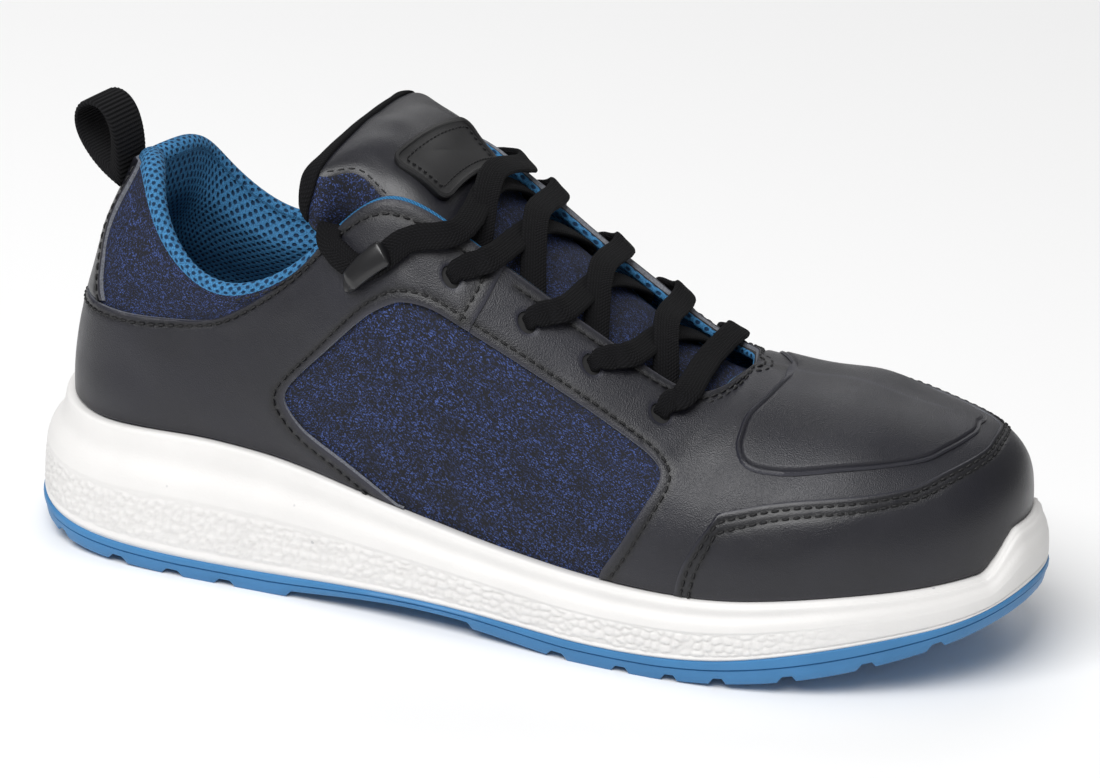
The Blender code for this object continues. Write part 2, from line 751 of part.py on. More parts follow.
def rest_share(s):
    """v just above the midsole's edge, where the overlays end."""
    return lip_share(s, GAP)


def one(s):
    return np.ones_like(s)


def joined(*legs):
    return np.concatenate([leg[:-1] for leg in legs])


def quarter_outline():
    """The leather round the heel, up the ankle and forward over each side panel."""
    seam = beside(catmull(STAY_SEAM, OUTLINE_STEP), GAP)
    rear = catmull(PANEL_REAR, OUTLINE_STEP)
    rear[0, 1] = rest_share(rear[0, 0])[0]
    top = catmull(COUNTER_TOP, OUTLINE_STEP)
    side = (rear, seam, along_columns(seam[-1, 0], top[-1, 0], one), top[::-1])
    mirror = [np.array([(-s, v) for s, v in leg[::-1]]) for leg in side[::-1]]
    base = along_columns(-rear[0, 0], rear[0, 0], rest_share)
    return joined(base, *side, *mirror)


def guard_curve():
    curve = catmull(GUARD_TOP, OUTLINE_STEP)
    curve[0, 1], curve[-1, 1] = (rest_share(curve[k, 0])[0] for k in (0, -1))
    return curve


def guard_outline():
    curve = guard_curve()
    return joined(along_columns(curve[0, 0], curve[-1, 0], rest_share), curve[::-1])


def vamp_outline():
    """The forefoot leather with both eyestays, between the side panels and the toe guard."""
    seam = beside(catmull(STAY_SEAM, OUTLINE_STEP), -GAP)
    front = catmull(PANEL_FRONT, OUTLINE_STEP)
    front[0], front[-1, 1] = seam[0], rest_share(front[-1, 0])[0]
    guard = beside(guard_curve(), 3 * GAP)
    guard[0, 1], guard[-1, 1] = (rest_share(guard[k, 0])[0] for k in (0, -1))
    legs = [seam[::-1], front, along_columns(front[-1, 0], guard[0, 0], rest_share), guard]
    legs += [other_side(leg) for leg in legs[2::-1]]
    legs.append(along_columns(LOOP - seam[-1, 0], seam[-1, 0], one))
    return joined(*legs)


def plateau_outline():
    edge = catmull(PLATEAU_EDGE, OUTLINE_STEP)
    start, end = (edge[0, 0], 1.0), (edge[-1, 0], 1.0)
    ridge = along_columns(end[0], start[0], one)
    return joined(np.array([start, *edge]), np.array([edge[-1], end]), ridge)


def backstay_outline():
    edge = catmull(BACKSTAY_EDGE, OUTLINE_STEP)
    mirror = np.array([(-s, v) for s, v in edge[::-1]])
    low = along_columns(-edge[0, 0], edge[0, 0], lambda s: backstay_foot(s))
    low[0, 1] = low[-1, 1] = edge[0, 1]
    top = along_columns(edge[-1, 0], -edge[-1, 0], lambda s: edge[-1, 1] * one(s))
    return joined(low, edge, top, mirror)


def backstay_foot(s):
    """v just above the counter's top edge."""
    curve = catmull(COUNTER_TOP, OUTLINE_STEP / 4)
    return np.interp(np.abs(s), curve[:, 0], curve[:, 1]) + 3 * GAP / flat_size((0.0, 1.0))[1]


def build_overlays(leather, smooth_leather):
    grid = skin_grid()
    patch("quarter", quarter_outline(), skin, grid, -OVERLAY, 0.0, leather)
    patch("vamp", vamp_outline(), skin, grid, -OVERLAY, 0.0, leather)
    patch("toe_guard", guard_outline(), skin, grid, -OVERLAY, GUARD_PROUD, leather)
    patch("backstay", backstay_outline(), skin, grid, -OVERLAY, 0.0, smooth_leather)
    top = FACET_GAP + PLATEAU_PROUD
    patch("toe_plateau", plateau_outline(), skin, grid, FACET_GAP, top, leather)


def unit(vector):
    return vector / np.linalg.norm(vector, axis=-1, keepdims=True)


def skin_normal(s, v):
    """Outward normal of the upper's surface, away from the round end of the throat."""
    step = 0.01
    along = skin(s + step, v) - skin(s - step, v)
    low = min(v, 1 - step)
    return unit(np.cross(along, skin(s, low + step) - skin(s, low - step)))


def off_skin(s, v, height):
    return skin(s, v) + skin_normal(s, v) * height


def even_points(line, count):
    """A polyline's points moved to equal steps along it."""
    line = np.asarray(line)
    run = np.concatenate([[0], np.cumsum(np.linalg.norm(np.diff(line, axis=0), axis=1))])
    at = np.linspace(0, run[-1], count)
    return np.stack([np.interp(at, run, line[:, k]) for k in range(3)], 1)


def under_eyestay():
    """Depth of the tongue's face under the upper's surface: a lace fits between them."""
    return recess() + WALL + LACE_THICK + 2 * FACET_GAP + 2 * GAP


def tongue_section(s, flank):
    """Across the shoe: under one eyestay, over the instep and under the other."""
    shares = np.linspace(1 - flank, 1, 5)
    depth = -under_eyestay()
    near = np.array([off_skin(s, v, depth) for v in shares])
    far = np.array([off_skin(LOOP - s, v, depth) for v in shares])
    width = np.linalg.norm(far[-1] - near[-1])
    if width < 2 * LACE_WIDTH:
        line = [near[:-1], [(near[-1] + far[-1]) / 2], far[-2::-1]]
        return even_points(np.concatenate(line), TONGUE_POINTS)
    rise = width**2 / (8 * ARCH_RADIUS)
    start, end = unit(near[-1] - near[-2]), unit(far[-1] - far[-2])
    carry = rise / (0.75 * max(start[2], 0.3))
    t = np.linspace(0, 1, 9)[1:-1, None]
    arch = (
        (1 - t) ** 3 * near[-1]
        + 3 * (1 - t) ** 2 * t * (near[-1] + start * carry)
        + 3 * (1 - t) * t * t * (far[-1] + end * carry)
        + t**3 * far[-1]
    )
    return even_points(np.concatenate([near, arch, far[::-1]]), TONGUE_POINTS)


# Free end of the tongue: x is a share of LENGTH, crown, shoulder_fall and flank_fall
# of COLLAR_HEIGHT, shoulder and flank of BALL_WIDTH.
TIP_COLUMNS = "name x crown shoulder shoulder_fall flank flank_fall".split()
TIP = (
    ("neck", 0.345, 1.060, 0.195, 0.034, 0.212, 0.130),
    ("lip", 0.318, 1.082, 0.225, 0.036, 0.250, 0.150),
    ("tip", 0.302, 1.086, 0.225, 0.036, 0.245, 0.110),
)
TONGUE_ROWS = (9.0, 8.5, 8.0, 7.5, 7.0, 6.5, 6.0, 5.5, 5.15)
TONGUE_FLANKS = (0.16, 0.15, 0.14, 0.15, 0.16, 0.17, 0.18, 0.18, 0.17)


def tip_section(row):
    size = dict(zip(TIP_COLUMNS, row))
    crown = size["crown"] * COLLAR_HEIGHT
    flank, shoulder = size["flank"] * BALL_WIDTH, size["shoulder"] * BALL_WIDTH
    low, fall = size["flank_fall"] * COLLAR_HEIGHT, size["shoulder_fall"] * COLLAR_HEIGHT
    half = [
        (flank, crown - low),
        (flank, crown - (low + fall) / 2),
        (shoulder, crown - fall),
        (shoulder / 2, crown - fall / 4),
    ]
    x = size["x"] * LENGTH
    line = [(x, -y, z) for y, z in half] + [(x, 0.0, crown)] + [(x, y, z) for y, z in half[::-1]]
    return even_points(line, TONGUE_POINTS)


def tongue_rows():
    rows = [tongue_section(s, flank) for s, flank in zip(TONGUE_ROWS, TONGUE_FLANKS)]
    return np.array(rows + [tip_section(row) for row in TIP])


TONGUE = tongue_rows()
CROWN_RUN = np.concatenate(
    [[0], np.cumsum(np.linalg.norm(np.diff(TONGUE[:, TONGUE_POINTS // 2], axis=0), axis=1))]
)
TONGUE_WIDTHS = np.linalg.norm(np.diff(TONGUE, axis=1), axis=2).sum(1)


def tongue_face(across, along):
    """A point of the tongue's face from its lengths across and along the crown."""
    across, along = np.asarray(across, float), np.asarray(along, float)
    p = np.clip(np.interp(along, CROWN_RUN, np.arange(len(TONGUE))), 0, len(TONGUE) - 1.001)
    share = 0.5 + across / np.interp(p, np.arange(len(TONGUE)), TONGUE_WIDTHS)
    q = np.clip(share, 0, 1) * (TONGUE_POINTS - 1.001)
    i, j = np.floor(p).astype(int), np.floor(q).astype(int)
    f, g = (p - i)[..., None], (q - j)[..., None]
    low = TONGUE[i, j] * (1 - g) + TONGUE[i, j + 1] * g
    return low * (1 - f) + (TONGUE[i + 1, j] * (1 - g) + TONGUE[i + 1, j + 1] * g) * f


def build_tongue(leather, trim):
    rows = len(TONGUE)
    points = TONGUE.reshape(-1, 3)
    faces = strip_faces(rows, TONGUE_POINTS, closed=False)
    along = np.repeat(np.arange(rows) / (rows - 1), TONGUE_POINTS)
    thick = TONGUE_THICK + (TONGUE_PAD - TONGUE_THICK) * smooth(0.45, 0.8, along)
    points, faces = thicken(points, faces, -thick, 0.0)
    make_object("tongue", points, faces, leather)
    build_badge(trim)


def filled(outline, step):
    """The closed outline with points added along its long sides."""
    found = []
    for a, b in zip(outline, np.roll(outline, -1, 0)):
        parts = max(1, round(float(np.linalg.norm(b - a)) / step))
        found += [a + (b - a) * t for t in np.arange(parts) / parts]
    return np.array(found)


def same_size(spot):
    return np.asarray(spot)


def build_badge(trim):
    half = np.array([BADGE_WIDTH, BADGE_LENGTH]) / 2
    centre = (0.0, CROWN_RUN[-1] - BADGE_FROM_TIP)
    outline = []
    for turn, sides in enumerate(((1, 1), (-1, 1), (-1, -1), (1, -1))):
        corner = (half - BADGE_CORNER) * sides
        for angle in np.radians(np.array([0, 30, 60, 90]) + 90 * turn):
            outline.append(corner + BADGE_CORNER * np.array([math.cos(angle), math.sin(angle)]))
    outline = filled(np.array(outline) + centre, BADGE_LENGTH / 3)
    across, along = np.meshgrid(half[0] * np.linspace(-0.8, 0.8, 7), half[1] * np.linspace(-0.6, 0.6, 3))
    grid = np.stack([across.ravel(), along.ravel()], 1) + centre
    low = FACET_GAP + GAP
    patch("tongue_badge", outline, tongue_face, grid, low, low + BADGE_THICK, trim, size=same_size)


def ribbon(path, normals):
    """Points and faces of a flat lace along a smooth curve."""
    path, normals = np.asarray(path), unit(np.asarray(normals))
    along = unit(np.gradient(path, axis=0))
    across = unit(np.cross(along, normals))
    normals = np.cross(across, along)
    half, thick = LACE_WIDTH / 2, LACE_THICK / 2
    flat = half - thick
    ring = ((-half, 0), (-flat, thick), (flat, thick), (half, 0), (flat, -thick), (-flat, -thick))
    points = np.concatenate([path + across * a + normals * b for a, b in ring])
    count, sides = len(path), len(ring)
    faces = []
    for side in range(sides):
        other = (side + 1) % sides
        for k in range(count - 1):
            a, b = side * count + k, other * count + k
            faces.append([a, b, b + 1, a + 1])
    faces.append([side * count for side in range(sides)][::-1])
    faces.append([side * count + count - 1 for side in range(sides)])
    return points, faces


def lace_curve(points, normals, steps=2):
    """A smooth lace path through chosen points, with normals between theirs."""
    p = np.asarray(points)
    p = np.concatenate([[2 * p[0] - p[1]], p, [2 * p[-1] - p[-2]]])
    path, ups = [], []
    for k, (a, b, c, d) in enumerate(zip(p, p[1:], p[2:], p[3:])):
        for t in np.arange(steps) / steps:
            path.append(catmull_point(a, b, c, d, t))
            ups.append(normals[k] * (1 - t) + normals[k + 1] * t)
    return np.array(path + [p[-2]]), np.array(ups + [normals[-1]])


def crown_over(s):
    """The middle of the tongue's face at a section of the throat."""
    return tongue_face(0.0, np.interp(s, TONGUE_ROWS[::-1], CROWN_RUN[len(TONGUE_ROWS) - 1 :: -1]))


EYELET_ROWS = (*EYELETS, KEEPER)
OVER_EDGES = (0.40, 0.42, 0.42, 0.95)
UNDER_EDGES = (0.0, 0.0, 0.0, 0.22)
UNDER_END = 0.97


def on_side(s, side):
    """The same section on the lateral side, -1, or the medial side, 1."""
    return s if side < 0 else LOOP - s


def tree_of(*names):
    """A search tree over the faces of some finished objects."""
    points, faces = [], []
    for name in names:
        mesh = bpy.data.objects[name].data
        first = len(points)
        points += [vertex.co.copy() for vertex in mesh.vertices]
        faces += [[first + k for k in face.vertices] for face in mesh.polygons]
    return BVHTree.FromPolygons(points, faces)


def settled(path, normals, beds):
    """The lace path raised wherever it would sink into a bed: (tree, clearance, reach test)."""
    path, raised = np.array(path), np.array(path)
    across = unit(np.cross(unit(np.gradient(path, axis=0)), unit(np.asarray(normals))))
    for k, point in enumerate(path):
        lift = 0.0
        for tree, clearance, reaches in beds:
            if not reaches(point):
                continue
            for other, way in ((k - 1, 0.5), (k - 1, 0.25), (k, 0.0), (k + 1, 0.25), (k + 1, 0.5)):
                other = min(max(other, 0), len(path) - 1)
                middle = point + (path[other] - point) * way
                for share in (-1.0, -0.5, 0.0, 0.5, 1.0):
                    spot = middle + across[k] * share * LACE_WIDTH / 2 - MIDDLE
                    hit, normal, _, _ = tree.ray_cast(Vector(spot + UP * DROP), Vector(-UP))
                    if hit is not None:
                        rest = hit.z + (clearance + LACE_THICK / 2) / max(normal.z, 0.5)
                        lift = max(lift, rest - spot[2])
        raised[k, 2] += lift
    return raised


def lace_strap(row, side, beds):
    """One strap of a crossing: from the eyelet behind, over the tongue, under the far eyestay."""
    rear, front = EYELET_ROWS[row + 1], EYELET_ROWS[row]
    span = front[0] - rear[0]
    over, under = GAP + LACE_THICK / 2, -(recess() + WALL + 2 * FACET_GAP + LACE_THICK / 2)
    near_edge = rear[0] + OVER_EDGES[row] * span
    far_edge = front[0] + UNDER_EDGES[row] * span
    stops = []
    for s, v, height in (
        (rear[0], rear[1], over),
        ((rear[0] + near_edge) / 2, (rear[1] + 1) / 2, over + FACET_GAP),
        (near_edge, 0.995, over + GAP + FACET_GAP),
    ):
        stops.append((off_skin(on_side(s, side), v, height), skin_normal(on_side(s, side), v)))
    centre = crown_over((far_edge + near_edge) / 2) + UP * (GAP + FACET_GAP + LACE_THICK / 2)
    stops.append((centre, UP + np.array([0.4, 0.0, 0.0])))
    for s, v in ((far_edge, 0.995), ((front[0] + far_edge) / 2, UNDER_END)):
        far = on_side(s, -side)
        stops.append((off_skin(far, v, under), skin_normal(far, v)))
    if rear is KEEPER:
        for s, v, height in ((4.62, 0.90, over + FACET_GAP), (4.45, 0.985, over + FACET_GAP)):
            stops.insert(0, (off_skin(on_side(s, side), v, height), skin_normal(on_side(s, side), v)))
    path, normals = lace_curve([stop[0] for stop in stops], [stop[1] for stop in stops])
    return settled(path, normals, beds), normals


def build_laces(finish):
    over = GAP + LACE_THICK / 2
    leathers, tongue = tree_of("upper", "vamp", "quarter"), tree_of("tongue")
    front = EYELETS[0]
    stops = []
    for side in (-1, 1):
        s = on_side(front[0], side)
        edge = on_side(front[0] + 0.22, side)
        pair = [
            (off_skin(s, front[1], over), skin_normal(s, front[1])),
            (off_skin(edge, 0.97, over + FACET_GAP), skin_normal(edge, 0.97)),
        ]
        stops += pair if side < 0 else pair[::-1]
        if side < 0:
            centre = crown_over(front[0] + 0.30) + UP * (over + 2 * FACET_GAP + LACE_THICK)
            stops.append((centre, UP + np.array([0.3, 0, 0])))
    path, normals = lace_curve([a for a, _ in stops], [b for _, b in stops])
    path = settled(path, normals, [(tree, FACET_GAP, lambda point: True) for tree in (leathers, tongue)])
    make_object("lace_bar", *ribbon(path, normals), finish)
    for row in range(len(EYELETS)):
        beds = [(tongue, FACET_GAP + GAP, lambda point: abs(point[1]) < THROAT_REACH)]
        near = (leathers, FACET_GAP, lambda point: point[1] < 0)
        strap = ribbon(*lace_strap(row, -1, [*beds, near]))
        lower = make_object(f"lace_crossing_{row + 1}", *strap, finish)
        near = (leathers, FACET_GAP, lambda point: point[1] > 0)
        under = (tree_of(lower.name), -GAP, lambda point: abs(point[1]) < CROSS_REACH)
        strap = ribbon(*lace_strap(row, 1, [*beds, near, under]))
        upper = make_object(f"strap_{row + 1}", *strap, finish)
        upper.hide_render = True
        upper.display_type = "WIRE"
        join = lower.modifiers.new("join", "BOOLEAN")
        join.operation = "UNION"
        join.solver = "EXACT"
        join.object = upper


def build_keepers(finish):
    """Moulded bridges that hold the lace where the top eyelets would be."""
    steps = np.linspace(-1, 1, 9)
    for name, side in (("lateral", -1), ("medial", 1)):
        rings = []
        for t in steps:
            arch = smooth(-0.95, -0.45, t)
            low = 2 * GAP + arch * (FACET_GAP + LACE_THICK + 2 * GAP)
            half = KEEPER_WIDTH / 2 * (1 - 0.45 * (t < 0) * t * t - 0.12 * (t > 0) * t * t)
            row = []
            for w, height in ((-1, low), (1, low), (0.8, low + KEEPER_THICK), (-0.8, low + KEEPER_THICK)):
                shift = KEEPER_ALONG * t * KEEPER_LENGTH / 2 + KEEPER_ALONG[::-1] * (1, -1) * w * half
                s, v = np.array(KEEPER) + shift / flat_size((1.0, 1.0))
                row.append(off_skin(on_side(s, side), v, height))
            rings.append(row if side < 0 else row[::-1])
        count = len(rings[0])
        points = np.array(rings).reshape(-1, 3)
        faces = [face[::-1] for face in strip_faces(len(rings), count)]
        faces.append(list(range(count)))
        faces.append([len(points) - count + k for k in range(count)][::-1])
        make_object(f"lace_keeper_{name}", points, faces, finish)


def build_pull_loop(finish):
    """A folded band stitched to the top of the backstay, standing as a drop."""
    lean = math.radians(LOOP_LEAN)
    base = off_skin(0.0, LOOP_FOOT, GAP + FACET_GAP + LOOP_BAND)
    turns = np.radians(np.arange(15, 346, 15))

    def drop(height, span, lift):
        x = span / 2 * 1.30 * np.sin(turns) * np.sin(turns / 2)
        z = lift + height * (1 - np.cos(turns)) / 2
        level, rise = math.cos(lean), math.sin(lean)
        return np.stack([x * level - z * rise, z * level + x * rise], 1)

    outer = drop(LOOP_HEIGHT, LOOP_SPAN, 0.0)
    inner = drop(LOOP_HEIGHT - LOOP_STEM - LOOP_BAND, LOOP_SPAN - 2 * LOOP_BAND, LOOP_STEM)
    outer = np.concatenate([outer, [[-LOOP_BAND, -LOOP_BAND], [LOOP_BAND, -LOOP_BAND]]])
    inner = np.concatenate([inner, inner[-1:], inner[:1]])
    count = len(outer)
    points = []
    for y in (-LOOP_WIDTH / 2, LOOP_WIDTH / 2):
        for ring in (outer, inner):
            points += [(base[0] + x, y, base[2] + z) for x, z in ring]
    faces = []
    for k in range(count):
        n = (k + 1) % count
        a, b, c, d = k, n, count + n, count + k
        far = 2 * count
        faces.append([a, b, c, d])
        faces.append([d + far, c + far, b + far, a + far])
        faces.append([b, a, a + far, b + far])
        faces.append([d, c, c + far, d + far])
    points, faces, _ = welded(np.array(points), faces)
    make_object("pull_loop", points, faces, finish)


def main():
    for old in list(bpy.data.objects):
        bpy.data.objects.remove(old)
    blue = material("outsole_rubber", (0.05, 0.22, 0.55), 0.55)
    white = material("midsole_foam", (0.83, 0.82, 0.80), 0.60)
    textile = material("glitter_textile", (0.02, 0.025, 0.07), 0.70)
    mesh = material("lining_mesh", (0.06, 0.22, 0.50), 0.80)
    build_outsole(blue)
    build_midsole(white)
    build_insole(mesh)
    build_upper(textile)
    leather = material("black_leather", (0.02, 0.02, 0.022), 0.45)
    smooth_leather = material("backstay_leather", (0.015, 0.015, 0.017), 0.35)
    build_overlays(leather, smooth_leather)
    build_tongue(leather, smooth_leather)
    woven = material("black_lace", (0.012, 0.012, 0.013), 0.85)
    build_laces(woven)
    build_keepers(smooth_leather)
    build_pull_loop(woven)


main()
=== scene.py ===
"""Looks of the safety sneaker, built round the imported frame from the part's own sections.

s counts the sections round the foot from the heel along the lateral side to the toe and
back, and v climbs a section from the foot's edge, 0, to the collar or vamp ridge, 1.
"""

import json
import math

import bpy
import numpy as np
from mathutils import Matrix, Vector
from mathutils.bvhtree import BVHTree
from mathutils.geometry import delaunay_2d_cdt

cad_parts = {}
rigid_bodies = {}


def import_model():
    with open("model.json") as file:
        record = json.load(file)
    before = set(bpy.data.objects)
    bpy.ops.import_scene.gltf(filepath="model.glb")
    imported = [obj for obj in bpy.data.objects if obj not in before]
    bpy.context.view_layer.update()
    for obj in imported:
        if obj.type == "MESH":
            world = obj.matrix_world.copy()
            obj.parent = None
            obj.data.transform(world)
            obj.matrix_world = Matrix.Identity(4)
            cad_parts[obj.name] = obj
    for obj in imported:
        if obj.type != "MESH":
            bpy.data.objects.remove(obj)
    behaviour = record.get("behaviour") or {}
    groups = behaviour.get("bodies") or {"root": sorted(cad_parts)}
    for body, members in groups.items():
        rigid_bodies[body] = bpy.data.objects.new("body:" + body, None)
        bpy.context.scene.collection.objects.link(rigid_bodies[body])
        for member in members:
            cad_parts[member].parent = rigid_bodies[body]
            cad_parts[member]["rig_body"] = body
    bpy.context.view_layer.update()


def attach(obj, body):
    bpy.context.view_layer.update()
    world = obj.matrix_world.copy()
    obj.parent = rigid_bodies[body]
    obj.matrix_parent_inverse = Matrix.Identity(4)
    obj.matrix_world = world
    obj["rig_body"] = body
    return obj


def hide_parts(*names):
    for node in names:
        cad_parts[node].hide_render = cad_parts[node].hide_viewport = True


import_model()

# Driving sizes of the last
LENGTH = 0.302
BALL_WIDTH = 0.112
HEEL_HEIGHT = 0.042
COLLAR_HEIGHT = 0.1225
RIDGE_LEAN = 0.005
ARCH_RADIUS = 0.046

# Sole
SOLE_FLARE = 0.0095
LIP_WIDTH = 0.0032
LIP_ROUND = 0.0009
BUMPER_RISE = 0.011
TREAD_DEPTH = 0.0026
TREAD_GROOVE = 0.0036
TREAD_CHAMFER = 0.0008
CENTRE_GROOVE = 0.006
EDGE_ROUND = 0.0012
TUCK = 0.0015
INSOLE_THICK = 0.0035

# Upper, measured along its normals
WALL = 0.0020
OVERLAY = 0.0013
GUARD_PROUD = 0.0006
PLATEAU_PROUD = 0.0010
GAP = 0.0003
FACET_GAP = 0.0006
COLLAR_PAD = 0.0095
THROAT_ROUND = 0.015
THROAT_END = 0.7086

# Tongue, badge and laces
TONGUE_THICK = 0.0032
TONGUE_PAD = 0.0062
TONGUE_POINTS = 13
BADGE_LENGTH = 0.019
BADGE_WIDTH = 0.042
BADGE_CORNER = 0.0045
BADGE_FROM_TIP = 0.029
BADGE_THICK = 0.0016
LACE_WIDTH = 0.0085
LACE_THICK = 0.0016
KEEPER_LENGTH = 0.020
KEEPER_WIDTH = 0.0085
KEEPER_THICK = 0.0016
DROP = 0.03
THROAT_REACH = 0.021
CROSS_REACH = 0.012

# Pull loop
LOOP_WIDTH = 0.015
LOOP_HEIGHT = 0.029
LOOP_SPAN = 0.0155
LOOP_BAND = 0.0016
LOOP_STEM = 0.007
LOOP_LEAN = 8.0
LOOP_FOOT = 0.93

# foot_x and top_x are shares of LENGTH, lat, med and top_y of BALL_WIDTH, foot_z of
# HEEL_HEIGHT and top_z of COLLAR_HEIGHT. lean and slope are degrees from upright and
# from level, and pull and top_pull say how far each end's direction carries.
UPPER_COLUMNS = "name foot_x lat med foot_z top_x top_y top_z lean pull slope top_pull".split()
UPPER = (
    ("heel", 0.0315, 0.000, 0.000, 0.857, 0.063, 0.000, 0.873, 4, 0.40, 76, 0.35),
    ("back", 0.0447, 0.170, 0.170, 0.857, 0.081, 0.152, 0.869, 8, 0.40, 76, 0.35),
    ("counter", 0.0927, 0.277, 0.277, 0.881, 0.126, 0.254, 0.816, 10, 0.40, 80, 0.35),
    ("ankle", 0.182, 0.317, 0.312, 0.905, 0.205, 0.290, 0.739, 10, 0.42, 82, 0.35),
    ("shank", 0.281, 0.335, 0.308, 0.857, 0.291, 0.304, 0.824, 12, 0.42, 74, 0.35),
    ("cuff", 0.381, 0.362, 0.304, 0.714, 0.368, 0.290, 1.000, 14, 0.42, 62, 0.35),
    ("instep", 0.487, 0.397, 0.326, 0.595, 0.464, 0.259, 0.902, 14, 0.42, 46, 0.35),
    ("waist", 0.589, 0.433, 0.371, 0.500, 0.570, 0.232, 0.743, 14, 0.42, 36, 0.36),
    ("lace", 0.672, 0.451, 0.411, 0.464, 0.662, 0.210, 0.620, 14, 0.42, 30, 0.38),
    ("ball", 0.742, 0.446, 0.433, 0.476, 0.728, 0.161, 0.600, 14, 0.44, 24, 0.40),
    ("vamp", 0.815, 0.406, 0.420, 0.512, 0.795, 0.000, 0.618, 12, 0.48, 0, 0.44),
    ("cap", 0.887, 0.321, 0.364, 0.595, 0.848, 0.000, 0.594, 10, 0.52, 0, 0.46),
    ("point", 0.947, 0.188, 0.240, 0.690, 0.887, 0.000, 0.576, 8, 0.56, 0, 0.50),
    ("toe", 0.977, -0.018, 0.018, 0.738, 0.901, 0.000, 0.569, 6, 0.58, 0, 0.52),
)
# ground, line, floor and lip are shares of HEEL_HEIGHT: the tread, the seam between
# outsole and midsole, the bed inside and the midsole's top edge. spread is a share of
# SOLE_FLARE, and facets is the number of steps to the next section.
SOLE_COLUMNS = "name ground line floor lip spread facets".split()
SOLE = (
    ("heel", 0.190, 0.300, 0.643, 1.040, 1.00, 3),
    ("back", 0.120, 0.262, 0.643, 1.025, 0.98, 3),
    ("counter", 0.036, 0.185, 0.643, 0.985, 0.89, 2),
    ("ankle", 0.000, 0.150, 0.643, 1.010, 0.79, 2),
    ("shank", 0.000, 0.155, 0.607, 0.965, 0.70, 2),
    ("cuff", 0.062, 0.185, 0.524, 0.825, 0.64, 3),
    ("instep", 0.072, 0.190, 0.440, 0.690, 0.63, 2),
    ("waist", 0.000, 0.155, 0.369, 0.610, 0.61, 2),
    ("lace", 0.000, 0.160, 0.330, 0.590, 0.58, 2),
    ("ball", 0.040, 0.215, 0.345, 0.615, 0.58, 2),
    ("vamp", 0.130, 0.330, 0.400, 0.680, 0.60, 3),
    ("cap", 0.270, 0.450, 0.500, 0.735, 0.64, 3),
    ("point", 0.430, 0.570, 0.617, 0.780, 0.70, 3),
    ("toe", 0.545, 0.700, 0.738, 0.800, 0.74, 0),
)

TOE = len(UPPER) - 1
LOOP = 2 * TOE
THROAT_ROW = 9
COLLAR_ROWS = 4
THROAT_STEPS = (90, 62, 36, 16, 0)
SECTION_RUN = 0.62
BUMPER_FROM, BUMPER_TO = 12.05, 12.60

# Side notches between the lugs and the plain arch, as sections from heel to toe
NOTCHES = (1.55, 2.35, 2.95, 3.50, 6.90, 7.62, 8.25, 8.90, 9.75, 10.65, 11.45)
LUGS_END, LUGS_START = 4.15, 6.05
CHEVRON = 0.35

# Outlines on the upper as (s, v), rear to front on the lateral side
COUNTER_TOP = (
    (0.00, 0.530), (0.94, 0.536), (1.66, 0.569), (2.19, 0.623), (2.65, 0.720),
    (3.02, 0.820), (3.28, 0.895), (3.62, 0.950), (4.10, 0.980), (4.50, 1.000),
)
PANEL_REAR = (
    (5.27, 0.033), (5.05, 0.063), (4.75, 0.105), (4.44, 0.155), (4.21, 0.210),
    (4.03, 0.300), (4.00, 0.364), (4.08, 0.420), (4.31, 0.494), (4.81, 0.600),
    (5.20, 0.674), (5.36, 0.700), (5.67, 0.724), (6.04, 0.724),
)
PANEL_FRONT = (
    (6.04, 0.724), (6.50, 0.720), (6.87, 0.711), (7.26, 0.695), (7.69, 0.665),
    (7.88, 0.632), (7.95, 0.594), (7.93, 0.527), (7.77, 0.397), (7.54, 0.234),
    (7.26, 0.075),
)
STAY_SEAM = ((6.04, 0.724), (6.09, 0.780), (6.16, 0.870), (6.21, 1.000))
GUARD_TOP = (
    (8.21, 0.080), (8.30, 0.188), (8.45, 0.272), (8.63, 0.331), (8.99, 0.368),
    (9.33, 0.397), (9.67, 0.414), (10.37, 0.435), (11.00, 0.485), (11.39, 0.556),
    (12.12, 0.686), (12.70, 0.775), (13.30, 0.775), (14.00, 0.690), (14.60, 0.680),
    (15.30, 0.690), (16.00, 0.640), (16.70, 0.500), (17.20, 0.370), (17.60, 0.230),
    (17.79, 0.080),
)
PLATEAU_EDGE = (
    (9.15, 0.941), (8.97, 0.803), (8.82, 0.711), (8.78, 0.636), (8.79, 0.569),
    (8.95, 0.510), (9.31, 0.498), (9.96, 0.523), (10.55, 0.556), (11.18, 0.619),
    (11.54, 0.690), (12.17, 0.800), (13.00, 0.880), (13.90, 0.800), (14.60, 0.770),
    (15.40, 0.765), (16.20, 0.735), (16.90, 0.690), (17.18, 0.720), (17.16, 0.800),
    (16.85, 0.941),
)
BACKSTAY_EDGE = ((1.53, 0.580), (1.32, 0.644), (1.10, 0.753), (0.84, 0.854), (0.80, 0.990))
EYELETS = ((7.83, 0.845), (7.10, 0.873), (6.50, 0.873), (5.80, 0.858))
KEEPER = (4.95, 0.785)


def smooth(low, high, at):
    t = np.clip((at - low) / (high - low), 0, 1)
    return t * t * (3 - 2 * t)


def run_along(line):
    """The length along a polyline at each of its points."""
    return np.concatenate([[0], np.cumsum(np.linalg.norm(np.diff(line, axis=0), axis=1))])


def whole_loop(half):
    """Sections of the lateral side, heel to toe, with the medial ones back to the heel."""
    return np.concatenate([half, LOOP - half[-2:0:-1]])


